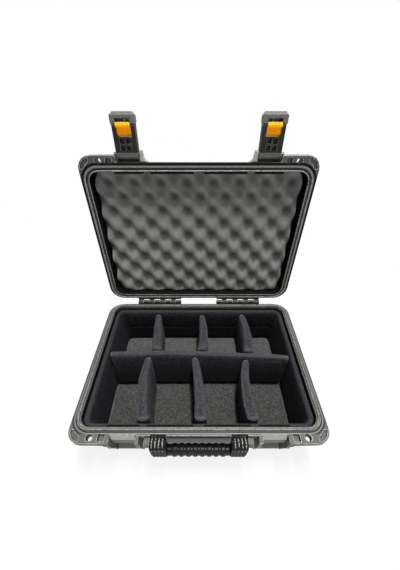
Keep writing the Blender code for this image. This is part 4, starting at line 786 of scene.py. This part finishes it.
def pad(node, name, material, voxel, inset, cap, seed, shape_further=None):
    """Stands for a soft CAD node: shrunk by the inset, filled out as cloth and made uneven."""
    piece = node_copy(node, name)
    shift_points(piece, lambda place, normal: normal * -inset)
    swell(piece, voxel, cap)

    def uneven(place, normal):
        lumps = wander(place, 22.0, seed) * 0.0007 + wander(place, 70.0, seed + 9.0) * 0.00025
        return normal * (lumps - 0.0002)

    shift_points(piece, uneven)
    if shape_further is not None:
        shift_points(piece, shape_further)
    paint_edges(piece, SOFT_EDGE_REACH, rounds=2)
    piece.data.shade_smooth()
    piece.data.materials.clear()
    piece.data.materials.append(material)
    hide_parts(node)
    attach(piece, "base")
    return piece


LINER_BACK_Y = 0.135
LINER_CREASE_Z = 0.0600
LINER_CREASE_DEPTH, LINER_CREASE_HALF = 0.0016, 0.0028
LINER_ROLL_RISE, LINER_ROLL_DROP, LINER_ROLL_HALF = 0.0004, 0.0070, 0.0060
LINER_TOP_START_Z, LINER_TOP_RISE = 0.112, 0.008


def liner_seams(place, normal):
    """The crease along the back wall and the slack of the liner's rolled top edge."""
    move = Vector((0.0, 0.0, 0.0))
    if place.y > LINER_BACK_Y and normal.y < -0.2:
        drop = (place.z - LINER_CREASE_Z - 0.0015 * math.sin(place.x * 37.0)) / LINER_CREASE_HALF
        move += normal * (-LINER_CREASE_DEPTH * math.exp(-drop * drop))
        lower = (place.z - LINER_CREASE_Z + LINER_ROLL_DROP) / LINER_ROLL_HALF
        move += normal * (LINER_ROLL_RISE * math.exp(-lower * lower))
    if place.z > LINER_TOP_START_Z:
        share = min((place.z - LINER_TOP_START_Z) / LINER_TOP_RISE, 1.0)
        sag = 0.0007 * wander(place, 16.0, 3.0) + 0.0003 * wander(place, 60.0, 5.0) - 0.0006
        move.z += share * min(sag, 0.0)
    return move


FLOOR_SPREAD = 0.0018


def floor_spread(place, normal):
    """The felt's sides, pressed against the liner."""
    return Vector((normal.x, normal.y, 0.0)) * FLOOR_SPREAD


DIVIDER_SWELL_BACK = 0.0010
DIVIDER_SWELL_FRONT = 0.0052
DIVIDER_TOP_START_Z, DIVIDER_TOP_RISE = 0.106, 0.010


def divider_slack(node, seed):
    """The uneven top edge of a divider and, on a short one, soft sides that fill out towards the front."""
    low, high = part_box(node)
    short = high[0] - low[0] < high[1] - low[1]

    def move(place, normal):
        share = min(max((place.z - DIVIDER_TOP_START_Z) / DIVIDER_TOP_RISE, 0.0), 1.0)
        rise = 0.0010 * wander(place, 24.0, seed) + 0.0004 * wander(place, 80.0, seed + 4.0) - 0.0004
        fill = 0.0
        if short:
            forward = min(max((high[1] - place.y) / (high[1] - low[1]), 0.0), 1.0)
            fill = normal.x * (DIVIDER_SWELL_BACK + DIVIDER_SWELL_FRONT * forward)
        return Vector((fill, 0.0, share * rise))

    return move


pad(
    "wall_liner", "padded_wall_liner", liner_finish,
    voxel=0.0042, inset=0.0011, cap=0.0012, seed=1.0, shape_further=liner_seams,
)
pad(
    "floor_pad", "felt_floor_pad", felt_finish,
    voxel=0.0045, inset=0.0008, cap=0.0010, seed=2.0, shape_further=floor_spread,
)
DIVIDERS = ["long_divider"]
DIVIDERS += [f"{row}_divider_{word}" for row in ("back", "front") for word in ("left", "middle", "right")]
for index, node in enumerate(DIVIDERS):
    pad(
        node, "padded_" + node, divider_finish,
        voxel=0.0040, inset=0.0010, cap=0.0013, seed=4.0 + index,
        shape_further=divider_slack(node, 11.0 + 3.0 * index),
    )

# Foam

FOAM_PITCH_X = 0.0556
FOAM_PITCH_Y = 0.0560
FOAM_PIT_X = 0.0027
FOAM_PIT_Y = INNER_BACK - 0.0160
FOAM_CREST_Z = LID_PLANE + 0.0180
FOAM_PIT_Z = LID_PLANE + 0.0340
FOAM_CORNER = 0.025
FOAM_STEP = 0.0022
FOAM_SLANT = 0.10
FOAM_UNEVENNESS = 0.07
FOAM_SIDE_GAP = 0.0045
FOAM_BACK_BEVEL = 0.008
FOAM_SHARP_ANGLE = math.radians(50.0)


def convoluted_face(half, front, back):
    """The foam's cut face: rounded pits in staggered rows, their crests joined along one slant."""
    sizes = {
        "Width": 2 * half,
        "Length": back - front,
        "Columns": round(2 * half / FOAM_STEP),
        "Rows": round((back - front) / FOAM_STEP),
        "Corner": FOAM_CORNER,
        "Pitch across": FOAM_PITCH_X,
        "Pitch along": FOAM_PITCH_Y,
        "First pit across": FOAM_PIT_X,
        "First pit along": FOAM_PIT_Y - (front + back) / 2,
        "Crest": FOAM_CREST_Z,
        "Pit": FOAM_PIT_Z,
        "Slant": FOAM_SLANT,
        "Unevenness": FOAM_UNEVENNESS,
    }
    sheet = Recipe("convoluted_foam", sizes)
    size = sheet.size
    counts = {0: size("Width"), 1: size("Length"), 2: size("Columns"), 3: size("Rows")}
    grid = sheet.node("GeometryNodeMeshGrid", None, counts).outputs[0]
    x, y, _ = sheet.apart(sheet.node("GeometryNodeInputPosition").outputs[0])
    straight_x = size("Width") * 0.5 - size("Corner")
    straight_y = size("Length") * 0.5 - size("Corner")
    over_x = (x.size() - straight_x).above(0.0)
    over_y = (y.size() - straight_y).above(0.0)
    away = (over_x * over_x + over_y * over_y).root()
    drawn_in = over_x.above(over_y) / away.above(0.000001)
    x = (x.size().below(straight_x) + over_x * drawn_in) * x.sign()
    y = (y.size().below(straight_y) + over_y * drawn_in) * y.sign()
    across = (x - size("First pit across")) / size("Pitch across") * math.tau
    along = (y - size("First pit along")) / size("Pitch along") * math.tau
    wave = (across - along).cosine() * (size("Slant") + 0.5)
    wave = wave + (across + along).cosine() * (0.5 - size("Slant"))
    lumps = sheet.node("ShaderNodeTexNoise", None, {"Scale": 30.0, "Detail": 1.0}).outputs[0]
    wave = (wave + (Amount(sheet, lumps) - 0.5) * size("Unevenness") - 0.06).above(-1.0).below(1.0)
    z = (size("Crest") + size("Pit")) * 0.5 + (size("Pit") - size("Crest")) * 0.5 * wave
    middle = (front + back) / 2
    moved = {"Geometry": grid, "Position": sheet.together(x, y + middle, z)}
    face = sheet.node("GeometryNodeSetPosition", None, moved).outputs[0]
    # The share of painted shade in the pits, stored for the foam's finish
    named = {"Geometry": face, "Name": "pit", "Value": (wave + 0.10).above(0.0).below(1.0)}
    stored = sheet.node("GeometryNodeStoreNamedAttribute", {"data_type": "FLOAT", "domain": "POINT"}, named)
    return sheet.make("egg_crate_foam", stored.outputs[0], foam_finish)


def egg_crate_foam():
    """The convoluted foam sheet in the lid, closed at its sides and flat at its back."""
    unturn = lid_place().inverted()
    points = [unturn @ vertex.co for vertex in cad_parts["lid_foam"].data.vertices]
    half = max(point.x for point in points) - FOAM_SIDE_GAP
    front = min(point.y for point in points)
    back = max(point.y for point in points)
    back_z = max(point.z for point in points)
    piece = convoluted_face(half, front, back)
    shape = bmesh.new()
    shape.from_mesh(piece.data)
    grown = bmesh.ops.extrude_face_region(shape, geom=list(shape.faces), use_keep_orig=True)
    for item in grown["geom"]:
        if isinstance(item, bmesh.types.BMVert):
            item.co.z = back_z
    flat = {f for f in shape.faces if all(abs(v.co.z - back_z) < TINY for v in f.verts)}
    inner = [e for e in shape.edges if e.link_faces and all(f in flat for f in e.link_faces)]
    bmesh.ops.dissolve_edges(shape, edges=inner, use_verts=True)
    rim = [e for e in shape.edges if all(abs(v.co.z - back_z) < TINY for v in e.verts)]
    bmesh.ops.bevel(shape, geom=rim, offset=FOAM_BACK_BEVEL, segments=2, profile=0.5, affect="EDGES")
    bmesh.ops.transform(shape, matrix=lid_place(), verts=shape.verts)
    bmesh.ops.recalc_face_normals(shape, faces=shape.faces)
    shape.to_mesh(piece.data)
    shape.free()
    shade(piece, FOAM_SHARP_ANGLE)
    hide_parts("lid_foam")
    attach(piece, "lid")


egg_crate_foam()

# Rigid pieces

dress("base_shell", "base_moulding", "base", shell_finish, width=0.0009)
dress("lid_shell", "lid_moulding", "lid", lid_finish, width=0.0009)
dress("lid_gasket", "lid_seal", "lid", seal_finish, width=0.0010, segments=3)
dress("handle_frame", "handle_arms", "handle", handle_finish, width=0.0006)
dress("handle_grip", "handle_ribbed_grip", "handle", grip_finish, width=0.0006)
for word in ("left", "right"):
    latch, lever = "latch_" + word, "lever_" + word
    dress("latch_body_" + word, "latch_channel_" + word, latch, latch_finish, width=0.0007)
    dress("release_lever_" + word, "orange_lever_" + word, lever, lever_finish, width=0.0007)

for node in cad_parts:
    if "_pin_" in node:
        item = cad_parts[node]
        item.data.materials.clear()
        item.data.materials.append(pin_finish)

# The springs, with the lid and the latches closed
SPRING_START_Y = LATCH_Y - 0.00325
SPRING_END_Y = LATCH_Y + 0.00225
SPRING_Z = LATCH_Z - 0.05105
SPRING_LEG_END_Z = LATCH_Z - 0.0580


def lever_spring(side, word):
    """The coil behind the orange lever; the leg at its fixed end shows in the latch's window."""
    sizes = {
        "Turns": 4.0,
        "Coil radius": 0.0019,
        "Wire radius": 0.00042,
        "Length": SPRING_END_Y - SPRING_START_Y,
        "Leg": SPRING_Z - SPRING_LEG_END_Z,
        "Leg share": 0.12,
        "Points": 120,
    }
    coil = Recipe("lever_spring", sizes)
    size = coil.size
    line = coil.node("GeometryNodeCurvePrimitiveLine").outputs[0]
    line = coil.node("GeometryNodeResampleCurve", None, {"Curve": line, "Count": size("Points")}).outputs[0]
    along = Amount(coil, coil.node("GeometryNodeSplineParameter").outputs["Factor"])
    wound = (along - size("Leg share")).above(0.0) / (1.0 - size("Leg share"))
    leg = (size("Leg share") - along).above(0.0) / size("Leg share")
    angle = wound * size("Turns") * math.tau
    x = angle.cosine() * size("Coil radius") * -side + side * LATCH_X
    y = wound * size("Length") + SPRING_START_Y
    z = angle.sine() * size("Coil radius") - leg * size("Leg") + SPRING_Z
    placed = {"Geometry": line, "Position": coil.together(x, y, z)}
    line = coil.node("GeometryNodeSetPosition", None, placed).outputs[0]
    round_wire = {"Resolution": 8, "Radius": size("Wire radius")}
    ring = coil.node("GeometryNodeCurvePrimitiveCircle", None, round_wire).outputs[0]
    wire = {"Curve": line, "Profile Curve": ring, "Fill Caps": True}
    wire = coil.node("GeometryNodeCurveToMesh", None, wire).outputs[0]
    piece = coil.make("lever_coil_" + word, wire, spring_finish)
    piece.data.transform(latch_place())
    shade(piece)
    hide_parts("lever_spring_" + word)
    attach(piece, "latch_" + word)
    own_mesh(piece)


lever_spring(-1, "left")
lever_spring(1, "right")

# Light, floor and camera


def area_light(name, place, aim, width, depth, power, color=(1.0, 1.0, 1.0)):
    """A soft light of the given width and depth, turned towards a point."""
    lamp = bpy.data.lights.new(name, "AREA")
    lamp.shape = "RECTANGLE"
    lamp.size = width
    lamp.size_y = depth
    lamp.energy = power
    lamp.color = color
    item = bpy.data.objects.new(name, lamp)
    item.location = place
    item.rotation_euler = (Vector(aim) - Vector(place)).to_track_quat("-Z", "Y").to_euler()
    scene.collection.objects.link(item)


area_light("overhead_light", (0.20, 0.04, 2.3), (0.0, 0.05, 0.1), 0.70, 0.14, 56.0, (1.0, 0.995, 0.98))
area_light("back_light", (0.15, 1.5, 2.1), (0.0, -0.1, 0.1), 1.0, 0.35, 22.0)
area_light("front_fill", (0.15, -2.3, 0.36), (0.0, 0.05, 0.3), 1.2, 0.6, 13.0)

WHITE = (1.0, 1.0, 1.0, 1.0)
FLOOR_HALF = 6.0
FLOOR_DROP = 0.0005
FLOOR_SHADOW_NEAR, FLOOR_SHADOW_FAR = 0.35, 0.95
WORLD_STRENGTH = 0.18


def shown_white(graph, surface, share):
    """A shader that is plain white for camera, glossy and transmission rays to the given share."""
    path = graph.node("ShaderNodeLightPath")
    seen = Amount(graph, path.outputs["Is Camera Ray"])
    for kind in ("Is Glossy Ray", "Is Transmission Ray"):
        seen = seen.above(Amount(graph, path.outputs[kind]))
    white = graph.node("ShaderNodeEmission", None, {"Color": WHITE}).outputs[0]
    return graph.node("ShaderNodeMixShader", None, {0: seen * share, 1: surface, 2: white}).outputs[0]


def pale_floor():
    """A pale floor that keeps the shadow near the case and shows plain white further out."""
    mesh = bpy.data.meshes.new("floor")
    corners = [(x * FLOOR_HALF, y * FLOOR_HALF, 0.0) for x, y in ((-1, -1), (1, -1), (1, 1), (-1, 1))]
    mesh.from_pydata(corners, [], [(0, 1, 2, 3)])
    floor = add_object("floor", mesh)
    floor.location.z = -FLOOR_DROP
    material = bpy.data.materials.new("floor_white")
    material.use_nodes = True
    material.node_tree.nodes.clear()
    graph = Graph(material.node_tree)
    matt = graph.node("ShaderNodeBsdfDiffuse", None, {"Color": (0.9, 0.9, 0.9, 1.0)})
    place = graph.node("ShaderNodeTexCoord").outputs["Object"]
    away = graph.node("ShaderNodeVectorMath", {"operation": "LENGTH"}, {0: place}).outputs["Value"]
    reach = {"Value": away, "From Min": FLOOR_SHADOW_NEAR, "From Max": FLOOR_SHADOW_FAR, "To Min": 0.86}
    share = graph.node("ShaderNodeMapRange", {"interpolation_type": "SMOOTHSTEP"}, reach).outputs[0]
    surface = shown_white(graph, matt.outputs[0], Amount(graph, share))
    graph.node("ShaderNodeOutputMaterial", None, {"Surface": surface})
    mesh.materials.append(material)


def white_world():
    """White behind the case, and an even soft light on it."""
    world = bpy.data.worlds.new("studio")
    scene.world = world
    world.use_nodes = True
    world.node_tree.nodes.clear()
    graph = Graph(world.node_tree)
    even = graph.node("ShaderNodeBackground", None, {"Color": WHITE, "Strength": WORLD_STRENGTH})
    surface = shown_white(graph, even.outputs[0], 1.0)
    graph.node("ShaderNodeOutputWorld", None, {"Surface": surface})


def photograph_camera():
    """The camera that the photograph was fitted with."""
    lens = bpy.data.cameras.new("camera")
    lens.lens = CAMERA_LENS
    lens.sensor_width = 36.0
    lens.shift_x, lens.shift_y = CAMERA_SHIFT
    lens.clip_start = 0.01
    lens.clip_end = 50.0
    camera = bpy.data.objects.new("camera", lens)
    camera.location = CAMERA_PLACE
    camera.rotation_euler = (math.radians(90.0 - CAMERA_PITCH_DEG), 0.0, 0.0)
    scene.collection.objects.link(camera)
    scene.camera = camera


pale_floor()
white_world()
photograph_camera()
scene.view_settings.view_transform = "Standard"
